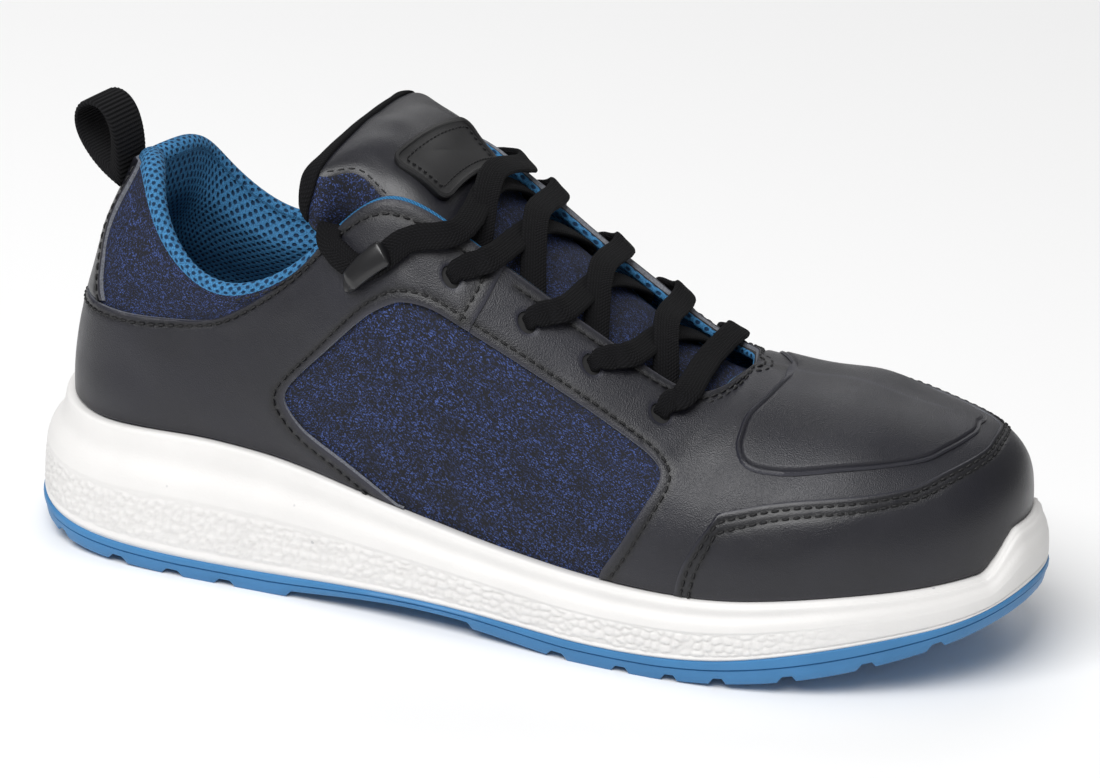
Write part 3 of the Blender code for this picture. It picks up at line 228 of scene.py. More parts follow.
def spline_loop(knots, at):
    """Values of a smooth closed curve through equally spaced knots."""
    k = np.asarray(knots, float)
    n = len(k)
    near = np.roll(np.eye(n), 1, 0) + np.roll(np.eye(n), -1, 0)
    m = np.linalg.solve(4 * np.eye(n) + near, 3 * (np.roll(k, -1, 0) - np.roll(k, 1, 0)))
    at = np.asarray(at, float)
    i = np.floor(at).astype(int)
    f = at - i
    i, j = i % n, (i + 1) % n
    start = (2 * f**3 - 3 * f**2 + 1) * k[i] + (f**3 - 2 * f**2 + f) * m[i]
    return start + (3 * f**2 - 2 * f**3) * k[j] + (f**3 - f**2) * m[j]


def around(lateral, medial=None):
    """A section table's column as knots of the full loop."""
    lateral = list(lateral)
    medial = lateral if medial is None else list(medial)
    return np.array(lateral + medial[-2:0:-1], float)


def upper_column(name, scale=1.0):
    return [row[UPPER_COLUMNS.index(name)] * scale for row in UPPER]


def sole_column(name, scale=1.0):
    return [row[SOLE_COLUMNS.index(name)] * scale for row in SOLE]


FOOT_X = around(upper_column("foot_x", LENGTH))
FOOT_Y = around(upper_column("lat", -BALL_WIDTH), upper_column("med", BALL_WIDTH))
FOOT_Z = around(upper_column("foot_z", HEEL_HEIGHT))
TOP_X = around(upper_column("top_x", LENGTH))
TOP_Y = around(upper_column("top_y", BALL_WIDTH))
TOP_Z = around(upper_column("top_z", COLLAR_HEIGHT))
LEAN = around(upper_column("lean"))
PULL = around(upper_column("pull"))
SLOPE = around(upper_column("slope"))
TOP_PULL = around(upper_column("top_pull"))


def ridge_falls():
    """How steeply the throat and the vamp ridge run downhill at each section."""
    x = upper_column("top_x", LENGTH)
    z = [
        top + half**2 / (2 * ARCH_RADIUS)
        for top, half in zip(upper_column("top_z", COLLAR_HEIGHT), upper_column("top_y", BALL_WIDTH))
    ]
    first = THROAT_ROW - 1
    falls = [0.0] * first
    for k in range(first, TOE + 1):
        a, b = max(k - 1, first), min(k + 1, TOE)
        falls.append((z[b] - z[a]) / (x[b] - x[a]))
    return around(falls)


FALL = ridge_falls()
UP = np.array([0.0, 0.0, 1.0])


def foot(s):
    parts = (spline_loop(FOOT_X, s), spline_loop(FOOT_Y, s), spline_loop(FOOT_Z, s))
    return np.stack(parts, -1)


def outward(s):
    """The foot edge's level outward direction."""
    step = 1e-3
    along = foot(np.asarray(s) + step) - foot(np.asarray(s) - step)
    normal = np.stack([along[..., 1], -along[..., 0], 0 * along[..., 0]], -1)
    return normal / np.linalg.norm(normal, axis=-1, keepdims=True)


def folded(s):
    """The section number counted from the heel on either side."""
    s = np.asarray(s, float) % LOOP
    return np.where(s <= TOE, s, LOOP - s)


def ridge_y(x):
    return RIDGE_LEAN * smooth(0.63 * LENGTH, 0.94 * LENGTH, x)


def openness(s):
    """1 along the collar and throat, falling to 0 round the throat's end."""
    inside = np.clip((THROAT_END * LENGTH - spline_loop(TOP_X, s)) / THROAT_ROUND, 0, 1)
    return np.where(folded(s) < COLLAR_ROWS, 1.0, np.sqrt(1 - (1 - inside) ** 2))


def top_edge(s):
    s = np.asarray(s, float)
    x, half, share = spline_loop(TOP_X, s), spline_loop(TOP_Y, s), openness(s)
    z = spline_loop(TOP_Z, s) + half**2 * (1 - share**2) / (2 * ARCH_RADIUS)
    side = np.where(s % LOOP <= TOE, -1.0, 1.0)
    return np.stack([x, ridge_y(x) + side * half * share, z], -1)


def cad_skin(s, v):
    """Points of the CAD upper's outer surface."""
    s, v = np.broadcast_arrays(np.asarray(s, float), np.asarray(v, float))
    v = v[..., None]
    low_end, high_end, normal = foot(s), top_edge(s), outward(s)
    lean = np.radians(spline_loop(LEAN, s))[..., None]
    slope = (np.radians(spline_loop(SLOPE, s)) * openness(s))[..., None]
    fall = spline_loop(FALL, s)[..., None]
    reach = np.linalg.norm(high_end - low_end, axis=-1, keepdims=True)
    rise = normal * np.sin(lean) + UP * np.cos(lean)
    flat = normal + UP * fall * normal[..., :1]
    crown = flat * np.cos(slope) - UP * np.sin(slope)
    low_pull = low_end + rise * reach * spline_loop(PULL, s)[..., None]
    high_pull = high_end + crown * reach * spline_loop(TOP_PULL, s)[..., None]
    return (
        (1 - v) ** 3 * low_end
        + 3 * (1 - v) ** 2 * v * low_pull
        + 3 * (1 - v) * v * v * high_pull
        + v**3 * high_end
    )


def level(name, s):
    """A height from the sole table."""
    return spline_loop(around(sole_column(name, HEEL_HEIGHT)), s)


def ground(s):
    return np.maximum(level("ground", s), 0)


def lip(s):
    return level("lip", s) + BUMPER_RISE * smooth(BUMPER_FROM, BUMPER_TO, folded(s))


def lip_share(s, clearance=0.0):
    """v where the midsole's edge crosses the upper's surface."""
    tries = np.linspace(0, 0.5, 101)
    s = np.atleast_1d(np.asarray(s, float))
    heights = skin(s[None, :], tries[:, None])[..., 2]
    return np.array(
        [np.interp(lip(at) + clearance, heights[:, k], tries) for k, at in enumerate(s)]
    )


def with_throat(found, steps, tries, clearance, kept):
    """Section numbers joined by ones at even angles round the throat's end."""
    fine = np.linspace(THROAT_ROW - 2, THROAT_ROW + 1, tries)
    x = spline_loop(TOP_X, fine)
    for angle in np.radians(steps):
        target = THROAT_END * LENGTH - THROAT_ROUND * (1 - math.cos(angle))
        at = float(np.interp(target, x, fine))
        found = [u for u in found if abs(u - at) > clearance or u in kept]
        found.append(at)
    return np.array(sorted(found)), at


def make_stations():
    """The CAD's section numbers, with the throat's end divided by angle."""
    found = [float(TOE)]
    for row, facets in enumerate(sole_column("facets")[:-1]):
        found += [row + k / facets for k in range(int(facets))]
    return with_throat(found, THROAT_STEPS, 600, 0.12, (TOE,))


STATIONS, RIDGE_FROM = make_stations()
CAD_COLUMNS = whole_loop(STATIONS)


def sole_point(s, offset, z):
    point = foot(s) + outward(s) * np.asarray(offset)[..., None]
    point[..., 2] = z
    return point


def spread(s):
    return spline_loop(around(sole_column("spread", SOLE_FLARE)), s)


OUTLINE = sole_point(CAD_COLUMNS, spread(CAD_COLUMNS), 0.0)
MIDDLE = (OUTLINE.min(0) + OUTLINE.max(0)) / 2
MIDDLE[2] = 0.0


# The scene's own steps, in metres and sections
PANEL_STEP = 0.0020
ROUND_EDGE = 0.00035
STITCH_PITCH = 0.0031
STITCH_LENGTH = 0.0022
STITCH_RADIUS = 0.00036
SEAM_IN = 0.0027
SEAM_DEPTH = 0.00022
EYELET_HOLE = 0.0030
HOLE_RINGS = (1.25, 1.6)
HOLE_CLEAR = 1.9
FINE_SECTIONS = 144
FINE_THROAT_STEPS = np.arange(88, -1, -8)
SHORTEST_EDGE = 0.0002
RIM_RING = 0.0006
RING_CLEAR = 0.0005
RIM_CLEAR = 0.0012
SEAM_CLEAR = 0.0010
SEAM_HALF = 0.0007
SEAM_MARK = 0.0008
SEAM_SWELL, SWELL_AT, SWELL_HALF = 0.00012, 0.0019, 0.0009
TIP_SIZE = (0.05, 0.93)
WAVE_SIZE, WAVE_HEIGHT = 0.021, 0.00012


def fine_columns():
    """Section numbers about a panel step apart, closer round the throat's end."""
    even = list(np.linspace(0, TOE, FINE_SECTIONS))
    half, _ = with_throat(even, FINE_THROAT_STEPS, 1500, 0.04, (0, TOE))
    return whole_loop(half)


# The collar's soft roll against its CAD edge: section, forward, inward, up, in millimetres
ROLL = (
    (0, 3.6, 0.0, 5.6),
    (1, 4.7, 4.0, 7.5),
    (2, 3.0, 2.0, -1.2),
    (3, 0.0, 0.0, -3.6),
    (4, 0.0, 0.0, 0.3),
    (23, 0.0, 0.0, 0.0),
    (24, 1.5, -1.0, 6.0),
    (25, 4.5, -4.0, 8.0),
)
ROLL_LOOP = np.zeros((3, LOOP))
for row in ROLL:
    ROLL_LOOP[:, row[0]] = np.array(row[1:]) / 1000


def skin(s, v):
    """The upper's surface, with the collar's roll shaped at the heel."""
    point = cad_skin(s, v)
    s, v = np.asarray(s, float), np.asarray(v, float)
    side, rise = smooth(0.74, 1.0, v), smooth(0.60, 1.0, v)
    across = side * smooth(0.0, 0.9, folded(s))
    for axis, share in enumerate((side, across, rise)):
        point[..., axis] += spline_loop(ROLL_LOOP[axis], s % LOOP) * share
    return point


COLUMNS = fine_columns()
ROWS = np.linspace(0, 1, 44)


def corner_arrays(faces):
    """Triangles of mixed faces, as an index array."""
    return np.array([(f[0], f[k], f[k + 1]) for f in faces for k in range(1, len(f) - 1)])


def mesh_normals(points, faces):
    t = corner_arrays(faces)
    cross = np.cross(points[t[:, 1]] - points[t[:, 0]], points[t[:, 2]] - points[t[:, 0]])
    normals = np.zeros_like(points)
    for k in range(3):
        np.add.at(normals, t[:, k], cross)
    return normals / np.maximum(np.linalg.norm(normals, axis=1, keepdims=True), 1e-12)


def welded(points, faces, extra=()):
    """Points that coincide made one, with the arrays in extra thinned the same way."""
    _, first, index = np.unique(
        np.round(points * 1e6).astype(np.int64), axis=0, return_index=True, return_inverse=True
    )
    index = index.reshape(-1)
    kept = []
    for face in faces:
        ring = [int(index[k]) for k in face]
        ring = [k for n, k in enumerate(ring) if k != ring[n - 1]]
        if len(ring) > 2:
            kept.append(ring)
    return points[first], kept, [np.asarray(e)[first] for e in extra]


def border(faces):
    edges = {(a, b) for face in faces for a, b in zip(face, face[1:] + face[:1])}
    return [(a, b) for a, b in edges if (b, a) not in edges]


def strip_faces(rings, count, closed=True):
    faces = []
    last = count if closed else count - 1
    for ring in range(rings - 1):
        for k in range(last):
            a, b = ring * count + k, ring * count + (k + 1) % count
            faces.append([a, b, b + count, a + count])
    return faces


def make_piece(name, points, faces, finishes, which=None, uv=None, marks=None, sharp=None):
    """A piece on the one body. uv is per point, marks are named values per point."""
    mesh = bpy.data.meshes.new(name)
    points = np.asarray(points, float) - MIDDLE
    mesh.from_pydata(points.tolist(), [], [list(map(int, face)) for face in faces])
    mesh.shade_smooth()
    if sharp:
        mesh.set_sharp_from_angle(angle=math.radians(sharp))
    for finish in finishes if isinstance(finishes, (list, tuple)) else [finishes]:
        mesh.materials.append(finish)
    if which is not None:
        mesh.polygons.foreach_set("material_index", np.asarray(which, np.int32))
    corners = np.empty(len(mesh.loops), np.int32)
    mesh.loops.foreach_get("vertex_index", corners)
    if uv is not None:
        layer = mesh.uv_layers.new(name="run")
        layer.data.foreach_set("uv", np.asarray(uv, np.float32)[corners].ravel())
    for label, values in (marks or {}).items():
        made = mesh.attributes.new(label, "FLOAT", "POINT")
        made.data.foreach_set("value", np.asarray(values, np.float32))
    mesh.update()
    piece = bpy.data.objects.new(name, mesh)
    bpy.context.collection.objects.link(piece)
    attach(piece, "root")
    return piece


def base_ring(s, offset=0.0):
    point = foot(s) - outward(s) * (TUCK + recess() - np.asarray(offset))
    point[..., 2] = level("floor", s)
    return point


FLAT = np.array([LENGTH / TOE, SECTION_RUN * COLLAR_HEIGHT])


def flat_size(spot):
    """An (s, v) difference as rough lengths on the shoe."""
    return np.asarray(spot) * FLAT


def flat_run(s, v):
    """Rough lengths along and up the shoe, as texture coordinates in metres."""
    return np.stack([np.asarray(s) * LENGTH / TOE, np.asarray(v) * SECTION_RUN * COLLAR_HEIGHT], -1)


def line_distance(starts, ends, spots):
    """Distance from each spot to the nearest of some straight pieces."""
    best = np.full(len(spots), np.inf)
    for a, b in zip(starts, ends):
        d = b - a
        t = np.clip(((spots - a) @ d) / max(d @ d, 1e-18), 0, 1)
        best = np.minimum(best, np.linalg.norm(spots - a - t[:, None] * d, axis=1))
    return best


def curve_distance(curve, spots):
    """Distance from (s, v) spots to an open (s, v) curve, as lengths."""
    line = flat_size(curve)
    return line_distance(line, line[1:], flat_size(spots))


def border_distance(outline, spots):
    """Distance from spots to a closed outline, both as lengths."""
    return line_distance(outline, np.roll(outline, -1, 0), spots)


# Creases as (s, v) ends, depth, half width: minus sinks, plus swells
CREASES = (
    (8.05, 0.60, 8.55, 0.93, -0.0007, 0.0042),
    (7.65, 0.72, 8.15, 0.95, -0.0005, 0.0036),
    (8.70, 0.45, 8.30, 0.66, -0.0005, 0.0050),
    (17.95, 0.60, 17.45, 0.93, -0.0007, 0.0042),
    (18.35, 0.72, 17.85, 0.95, -0.0005, 0.0036),
    (5.05, 0.90, 5.75, 0.74, -0.0006, 0.0040),
    (4.60, 0.86, 4.90, 0.66, -0.0005, 0.0045),
    (3.60, 0.86, 4.30, 0.72, 0.0005, 0.0060),
    (6.60, 0.80, 7.00, 0.74, -0.0004, 0.0040),
    (20.95, 0.90, 20.25, 0.74, -0.0006, 0.0040),
    (21.40, 0.86, 21.10, 0.66, -0.0005, 0.0045),
    (2.10, 0.62, 2.60, 0.86, -0.0008, 0.0060),
    (3.10, 0.72, 3.50, 0.90, 0.0006, 0.0050),
    (1.30, 0.30, 2.60, 0.34, -0.0005, 0.0080),
    (24.70, 0.30, 23.40, 0.34, -0.0005, 0.0080),
)


def crease(s, v):
    """How far the soft folds move the surface."""
    spots = flat_run(s, v)
    moved = np.zeros(spots.shape[:-1])
    for s0, v0, s1, v1, depth, width in CREASES:
        a, b = flat_run(s0, v0), flat_run(s1, v1)
        d = b - a
        t = np.clip(((spots - a) @ d) / (d @ d), 0, 1)
        away = np.linalg.norm(spots - a - t[..., None] * d, axis=-1)
        fade = np.sin(np.pi * np.clip(t * 0.9 + 0.05, 0, 1))
        moved += depth * fade * np.exp(-((away / width) ** 2))
    return moved


def waves(points, size, amount, seed):
    """A soft unevenness made of a few slow waves."""
    draw = np.random.default_rng(seed)
    total = np.zeros(len(points))
    for _ in range(7):
        way = draw.normal(size=3)
        way /= np.linalg.norm(way)
        total += np.sin(points @ way * 2 * np.pi / (size * draw.uniform(0.7, 1.5)) + draw.uniform(0, 6.28))
    return total * amount / 3


def round_spots(s, v, radius, count=24):
    """(s, v) spots at a real distance round one on the upper."""
    step = 0.01
    wide = np.linalg.norm(skin(s + step, v) - skin(s - step, v)) / (2 * step)
    tall = np.linalg.norm(skin(s, v + step) - skin(s, v - step)) / (2 * step)
    turns = np.linspace(0, 2 * np.pi, count, endpoint=False)
    return np.stack([s + radius / wide * np.cos(turns), v + radius / tall * np.sin(turns)], 1)


def panel_grid(outline, flat, seams, lines, holes):
    """(s, v) spots inside a panel: a grid, with closer ones along seams and round holes."""
    every = np.concatenate([COLUMNS - LOOP, COLUMNS])
    s, v = np.meshgrid(every, ROWS[:-1])
    grid = np.stack([s.ravel(), v.ravel()], 1)
    tip = (np.abs(grid[:, 0] - TOE) < TIP_SIZE[0]) & (grid[:, 1] > TIP_SIZE[1])
    grid = grid[~tip]
    low_s, high_s = outline[:, 0].min(), outline[:, 0].max()
    grid = grid[(grid[:, 0] > low_s) & (grid[:, 0] < high_s)]
    added = [beside(seam, away) for seam in seams for away in (-SEAM_HALF, 0.0, SEAM_HALF)]
    added += list(lines)
    if added:
        near = np.min([curve_distance(curve, grid) for curve in [*seams, *lines]], 0)
        grid = np.concatenate([grid[near > SEAM_CLEAR], *added])
    for hole in holes:
        grid = grid[~inside(round_spots(*hole, EYELET_HOLE * HOLE_CLEAR), grid)]
        grid = np.concatenate([grid, *(round_spots(*hole, EYELET_HOLE * wide) for wide in HOLE_RINGS)])
    grid = grid[inside(outline, grid)]
    return grid[border_distance(flat, flat_size(grid)) > RIM_CLEAR]


def panel_mesh(outline, flat, seams, lines, holes, rounds):
    """The (s, v) spots and triangles of a panel, with its holes left open."""
    along = np.roll(flat, -1, 0) - np.roll(flat, 1, 0)
    along /= np.maximum(np.linalg.norm(along, axis=1, keepdims=True), 1e-12)
    ahead = np.roll(flat, -1, 0)
    turn = np.sign((flat[:, 0] * ahead[:, 1] - ahead[:, 0] * flat[:, 1]).sum())
    inward = np.stack([-along[:, 1], along[:, 0]], 1) * turn
    ring = (flat + inward * RIM_RING) / FLAT
    ring = ring[border_distance(flat, flat_size(ring)) > RING_CLEAR]
    grid = panel_grid(outline, flat, seams, lines, holes)
    work = [Vector(p) for p in flat_size(np.concatenate([outline, ring, grid, *rounds]))]
    cuts, first = [], len(outline) + len(ring) + len(grid)
    for edge_spots in rounds:
        count = len(edge_spots)
        cuts += [(first + k, first + (k + 1) % count) for k in range(count)]
        first += count
    made, _, faces, _, _, _ = delaunay_2d_cdt(work, cuts, [list(range(len(outline)))], 1, 1e-7)
    spots = np.array([tuple(p) for p in made]) / FLAT
    for edge_spots in rounds:
        middles = np.array([spots[list(face)].mean(0) for face in faces])
        faces = [face for face, cut in zip(faces, inside(edge_spots, middles)) if not cut]
    return spots, [list(face) for face in faces]


def panel(
    name, outline, low, high, finishes, seams, node_name,
    edge=ROUND_EDGE, extra=None, lines=(), holes=(),
):
    """A leather panel with a rounded cut edge, sunk along its seams."""
    keep = np.linalg.norm(flat_size(outline - np.roll(outline, 1, 0)), axis=1) > SHORTEST_EDGE
    outline = outline[keep]
    flat = flat_size(outline)
    rounds = [round_spots(*hole, EYELET_HOLE) for hole in holes]
    spots, faces = panel_mesh(outline, flat, seams, lines, holes, rounds)
    base, faces, (spots,) = welded(skin(spots[:, 0], spots[:, 1]), faces, (spots,))
    normals = mesh_normals(base, faces)
    height = np.full(len(base), high) + crease(spots[:, 0], spots[:, 1])
    height += waves(base, WAVE_SIZE, WAVE_HEIGHT, len(name))
    if extra is not None:
        height += extra(spots)
    near = np.full(len(base), 1.0)
    for seam in seams:
        near = np.minimum(near, curve_distance(seam, spots))
    height -= SEAM_DEPTH * np.exp(-((near / SEAM_HALF) ** 2))
    height += SEAM_SWELL * np.exp(-(((near - SWELL_AT) / SWELL_HALF) ** 2))
    edges = border(faces)
    rims = {k for pair in edges for k in pair}
    on_rim = np.array([k in rims for k in range(len(base))])
    ridge = on_rim & (spots[:, 1] > 0.9999) & (openness(spots[:, 0]) < 1e-6)
    height = np.where(on_rim & ~ridge, height - edge, height)
    top = base + normals * height[:, None]
    down = sorted(rims)
    order = {k: n for n, k in enumerate(down)}
    skirt = top[down] - normals[down] * edge * 0.8
    feet = base[down] + normals[down] * low
    n0, n1 = len(top), len(top) + len(down)
    sides = []
    for a, b in edges:
        sides.append([b, a, n0 + order[a], n0 + order[b]])
        sides.append([n0 + order[b], n0 + order[a], n1 + order[a], n1 + order[b]])
    which = [0] * len(faces) + [1] * len(sides)
    all_spots = np.concatenate([spots, spots[down], spots[down]])
    close = border_distance(flat, flat_size(spots))
    for edge_spots in rounds:
        close = np.minimum(close, border_distance(flat_size(edge_spots), flat_size(spots)))
    # Painted shade, darkest in the sunk stitch grooves.
    seam_shade = np.exp(-((near / SEAM_MARK) ** 2)) if len(seams) else np.zeros(len(spots))
    marks = {"inset": close, "seam_shade": seam_shade}
    marks = {label: np.concatenate([values, np.zeros(2 * len(down))]) for label, values in marks.items()}
    points = np.concatenate([top, skirt, feet])
    uv = flat_run(all_spots[:, 0], all_spots[:, 1])
    piece = make_piece(name, points, faces + sides, finishes, which, uv, marks, sharp=50)
    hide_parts(node_name)


STITCHES = []


def stitch_row(
    curve, surface, length=STITCH_LENGTH, pitch=STITCH_PITCH, radius=STITCH_RADIUS, lift=0.0001, extra=None
):
    """Adds thread stitches along a curve; surface gives points and normals."""
    points, normals = surface(curve)
    if extra is not None:
        points = points + normals * extra(np.asarray(curve))[:, None]
    run = run_along(points)
    count = int(run[-1] / pitch)
    for k in range(count):
        middle = (k + 0.5) * pitch
        ends = [middle - length / 2, middle, middle + length / 2]
        spot = np.stack([np.interp(ends, run, points[:, i]) for i in range(3)], 1)
        up = unit(np.array([np.interp(middle, run, normals[:, i]) for i in range(3)]))
        STITCHES.append((spot[0], spot[2], up, radius, lift))


def build_stitches(name, finish):
    """One piece of all the stitches collected so far."""
    points, faces = [], []
    shares = ((0.0, 0.25, -0.4), (0.12, 0.85, 0.35), (0.5, 1.0, 0.6), (0.88, 0.85, 0.35), (1.0, 0.25, -0.4))
    angles = np.radians(np.arange(0, 360, 60))
    for start, end, up, radius, lift in STITCHES:
        along = unit(end - start)
        side = unit(np.cross(along, up))
        up = np.cross(side, along)
        first = len(points)
        for share, size, rise in shares:
            centre = start + (end - start) * share + up * (lift + radius * rise)
            for angle in angles:
                points.append(centre + (side * math.cos(angle) + up * math.sin(angle)) * radius * size)
        faces += [[a + first for a in face[::-1]] for face in strip_faces(len(shares), len(angles))]
        last = first + (len(shares) - 1) * len(angles)
        faces.append([first + k for k in range(len(angles))])
        faces.append([last + k for k in range(len(angles))][::-1])
    STITCHES.clear()
    return make_piece(name, np.array(points), faces, finish)


def on_skin(height):
    """A surface for stitch rows at a height over the upper."""
    def surface(curve):
        s, v = np.asarray(curve)[:, 0], np.clip(np.asarray(curve)[:, 1], 0.01, 0.985)
        step = 0.01
        along = skin(s + step, v) - skin(s - step, v)
        normal = unit(np.cross(along, skin(s, v + step) - skin(s, v - step)))
        rise = height + crease(s, v) - SEAM_DEPTH * 0.8
        return skin(s, np.asarray(curve)[:, 1]) + normal * rise[:, None], normal
    return surface


def catmull_point(a, b, c, d, t):
    """The point at t between b and c on the smooth curve through four."""
    bend = (2 * a - 5 * b + 4 * c - d) * t**2 + (3 * b - a - 3 * c + d) * t**3
    return 0.5 * (2 * b + (c - a) * t + bend)


def catmull(points, step):
    """Points about a step apart on a smooth open curve through the given ones."""
    p = np.asarray(points, float)
    p = np.concatenate([[2 * p[0] - p[1]], p, [2 * p[-1] - p[-2]]])
    curve = []
    for a, b, c, d in zip(p, p[1:], p[2:], p[3:]):
        parts = max(1, round(float(np.linalg.norm(flat_size(c - b))) / step))
        curve += [catmull_point(a, b, c, d, t) for t in np.arange(parts) / parts]
    curve.append(p[-2])
    return np.array(curve)


def beside(curve, distance):
    """The (s, v) curve moved to its left by a length."""
    flat = flat_size(curve)
    along = np.gradient(flat, axis=0)
    along /= np.linalg.norm(along, axis=1, keepdims=True)
    moved = flat + np.stack([-along[:, 1], along[:, 0]], 1) * distance
    return moved / FLAT


def other_side(curve):
    return np.array([(LOOP - s, v) for s, v in curve][::-1])


def along_columns(start, end, share):
    """Points at the columns between two sections, at v = share(s)."""
    low, high = min(start, end), max(start, end)
    every = np.concatenate([COLUMNS - LOOP, COLUMNS])
    every = np.sort(every[(every > low + 0.04) & (every < high - 0.04)])
    s = np.concatenate([[low], every, [high]])
    found = np.stack([s, share(s)], 1)
    return found if start < end else found[::-1]


def inside(outline, spots):
    """Which spots lie in the closed outline."""
    found = np.zeros(len(spots), bool)
    for a, b in zip(outline, np.roll(outline, -1, 0)):
        crosses = (a[1] > spots[:, 1]) != (b[1] > spots[:, 1])
        rise = b[1] - a[1] if b[1] != a[1] else 1.0
        found ^= crosses & (spots[:, 0] < a[0] + (spots[:, 1] - a[1]) * (b[0] - a[0]) / rise)
    return found


def rest_share(s):
    """v just above the midsole's edge, where the overlays end."""
    return lip_share(s, GAP)


def one(s):
    return np.ones_like(s)


def joined(*legs):
    return np.concatenate([leg[:-1] for leg in legs])


def quarter_outline():
    """The leather round the heel, up the ankle and forward over each side panel."""
    seam = beside(catmull(STAY_SEAM, PANEL_STEP), GAP)
    rear = catmull(PANEL_REAR, PANEL_STEP)
    rear[0, 1] = rest_share(rear[0, 0])[0]
    top = catmull(COUNTER_TOP, PANEL_STEP)
    side = (rear, seam, along_columns(seam[-1, 0], top[-1, 0], one), top[::-1])
    mirror = [np.array([(-s, v) for s, v in leg[::-1]]) for leg in side[::-1]]
    base = along_columns(-rear[0, 0], rear[0, 0], rest_share)
    return joined(base, *side, *mirror)


def guard_curve():
    curve = catmull(GUARD_TOP, PANEL_STEP)
    curve[0, 1], curve[-1, 1] = (rest_share(curve[k, 0])[0] for k in (0, -1))
    return curve


def guard_outline():
    curve = guard_curve()
    return joined(along_columns(curve[0, 0], curve[-1, 0], rest_share), curve[::-1])


def plateau_outline():
    edge = catmull(PLATEAU_EDGE, PANEL_STEP)
    start, end = (edge[0, 0], 1.0), (edge[-1, 0], 1.0)
    ridge = along_columns(end[0], start[0], one)
    return joined(np.array([start, *edge]), np.array([edge[-1], end]), ridge)


def backstay_outline():
    edge = catmull(BACKSTAY_EDGE, PANEL_STEP)
    mirror = np.array([(-s, v) for s, v in edge[::-1]])
    low = along_columns(-edge[0, 0], edge[0, 0], lambda s: backstay_foot(s))
    low[0, 1] = low[-1, 1] = edge[0, 1]
    top = along_columns(edge[-1, 0], -edge[-1, 0], lambda s: edge[-1, 1] * one(s))
    return joined(low, edge, top, mirror)


def backstay_foot(s):
    """v just above the counter's top edge."""
    curve = catmull(COUNTER_TOP, PANEL_STEP / 4)
    return np.interp(np.abs(s), curve[:, 0], curve[:, 1]) + 3 * GAP / FLAT[1]


def unit(vector):
    return vector / np.linalg.norm(vector, axis=-1, keepdims=True)


def skin_normal(s, v):
    """Outward normal of the upper's surface, away from the round end of the throat."""
    step = 0.01
    along = skin(s + step, v) - skin(s - step, v)
    low = min(v, 1 - step)
    return unit(np.cross(along, skin(s, low + step) - skin(s, low - step)))


def off_skin(s, v, height):
    return skin(s, v) + skin_normal(s, v) * height


def even_points(line, count):
    """A polyline's points moved to equal steps along it."""
    line = np.asarray(line)
    run = run_along(line)
    at = np.linspace(0, run[-1], count)
    return np.stack([np.interp(at, run, line[:, k]) for k in range(3)], 1)


def recess():
    """How far the base of the upper lies under the overlays' outer face."""
    return OVERLAY + FACET_GAP


def under_eyestay():
    """Depth of the tongue's face under the upper's surface: a lace fits between them."""
    return recess() + WALL + LACE_THICK + 2 * FACET_GAP + 2 * GAP


def tongue_section(s, flank):
    """Across the shoe: under one eyestay, over the instep and under the other."""
    shares = np.linspace(1 - flank, 1, 5)
    depth = -under_eyestay()
    near = np.array([off_skin(s, v, depth) for v in shares])
    far = np.array([off_skin(LOOP - s, v, depth) for v in shares])
    width = np.linalg.norm(far[-1] - near[-1])
    if width < 2 * LACE_WIDTH:
        line = [near[:-1], [(near[-1] + far[-1]) / 2], far[-2::-1]]
        return even_points(np.concatenate(line), TONGUE_POINTS)
    rise = width**2 / (8 * ARCH_RADIUS)
    start, end = unit(near[-1] - near[-2]), unit(far[-1] - far[-2])
    carry = rise / (0.75 * max(start[2], 0.3))
    t = np.linspace(0, 1, 9)[1:-1, None]
    arch = (
        (1 - t) ** 3 * near[-1]
        + 3 * (1 - t) ** 2 * t * (near[-1] + start * carry)
        + 3 * (1 - t) * t * t * (far[-1] + end * carry)
        + t**3 * far[-1]
    )
    return even_points(np.concatenate([near, arch, far[::-1]]), TONGUE_POINTS)


# Free end of the tongue: x is a share of LENGTH, crown, shoulder_fall and flank_fall
# of COLLAR_HEIGHT, shoulder and flank of BALL_WIDTH.
TIP_COLUMNS = "name x crown shoulder shoulder_fall flank flank_fall".split()
TIP = (
    ("neck", 0.345, 1.060, 0.195, 0.034, 0.212, 0.130),
    ("lip", 0.318, 1.072, 0.225, 0.026, 0.250, 0.140),
    ("tip", 0.302, 1.064, 0.225, 0.014, 0.245, 0.088),
)
TONGUE_ROWS = (9.0, 8.5, 8.0, 7.5, 7.0, 6.5, 6.0, 5.5, 5.15)
TONGUE_FLANKS = (0.16, 0.15, 0.14, 0.15, 0.16, 0.17, 0.18, 0.18, 0.17)


def tip_section(row):
    size = dict(zip(TIP_COLUMNS, row))
    crown = size["crown"] * COLLAR_HEIGHT
    flank, shoulder = size["flank"] * BALL_WIDTH, size["shoulder"] * BALL_WIDTH
    low, fall = size["flank_fall"] * COLLAR_HEIGHT, size["shoulder_fall"] * COLLAR_HEIGHT
    half = [
        (flank, crown - low),
        (flank, crown - (low + fall) / 2),
        (shoulder, crown - fall),
        (shoulder / 2, crown - fall / 4),
    ]
    x = size["x"] * LENGTH
    line = [(x, -y, z) for y, z in half] + [(x, 0.0, crown)] + [(x, y, z) for y, z in half[::-1]]
    return even_points(line, TONGUE_POINTS)


def tongue_rows():
    rows = [tongue_section(s, flank) for s, flank in zip(TONGUE_ROWS, TONGUE_FLANKS)]
    return np.array(rows + [tip_section(row) for row in TIP])


TONGUE_SKEW = (0.22, 0.20)
TONGUE_SWELL = ((6, 7, 8, 9, 10, 11), (0.0, 0.0022, 0.0044, 0.0046, 0.0022, 0.0))


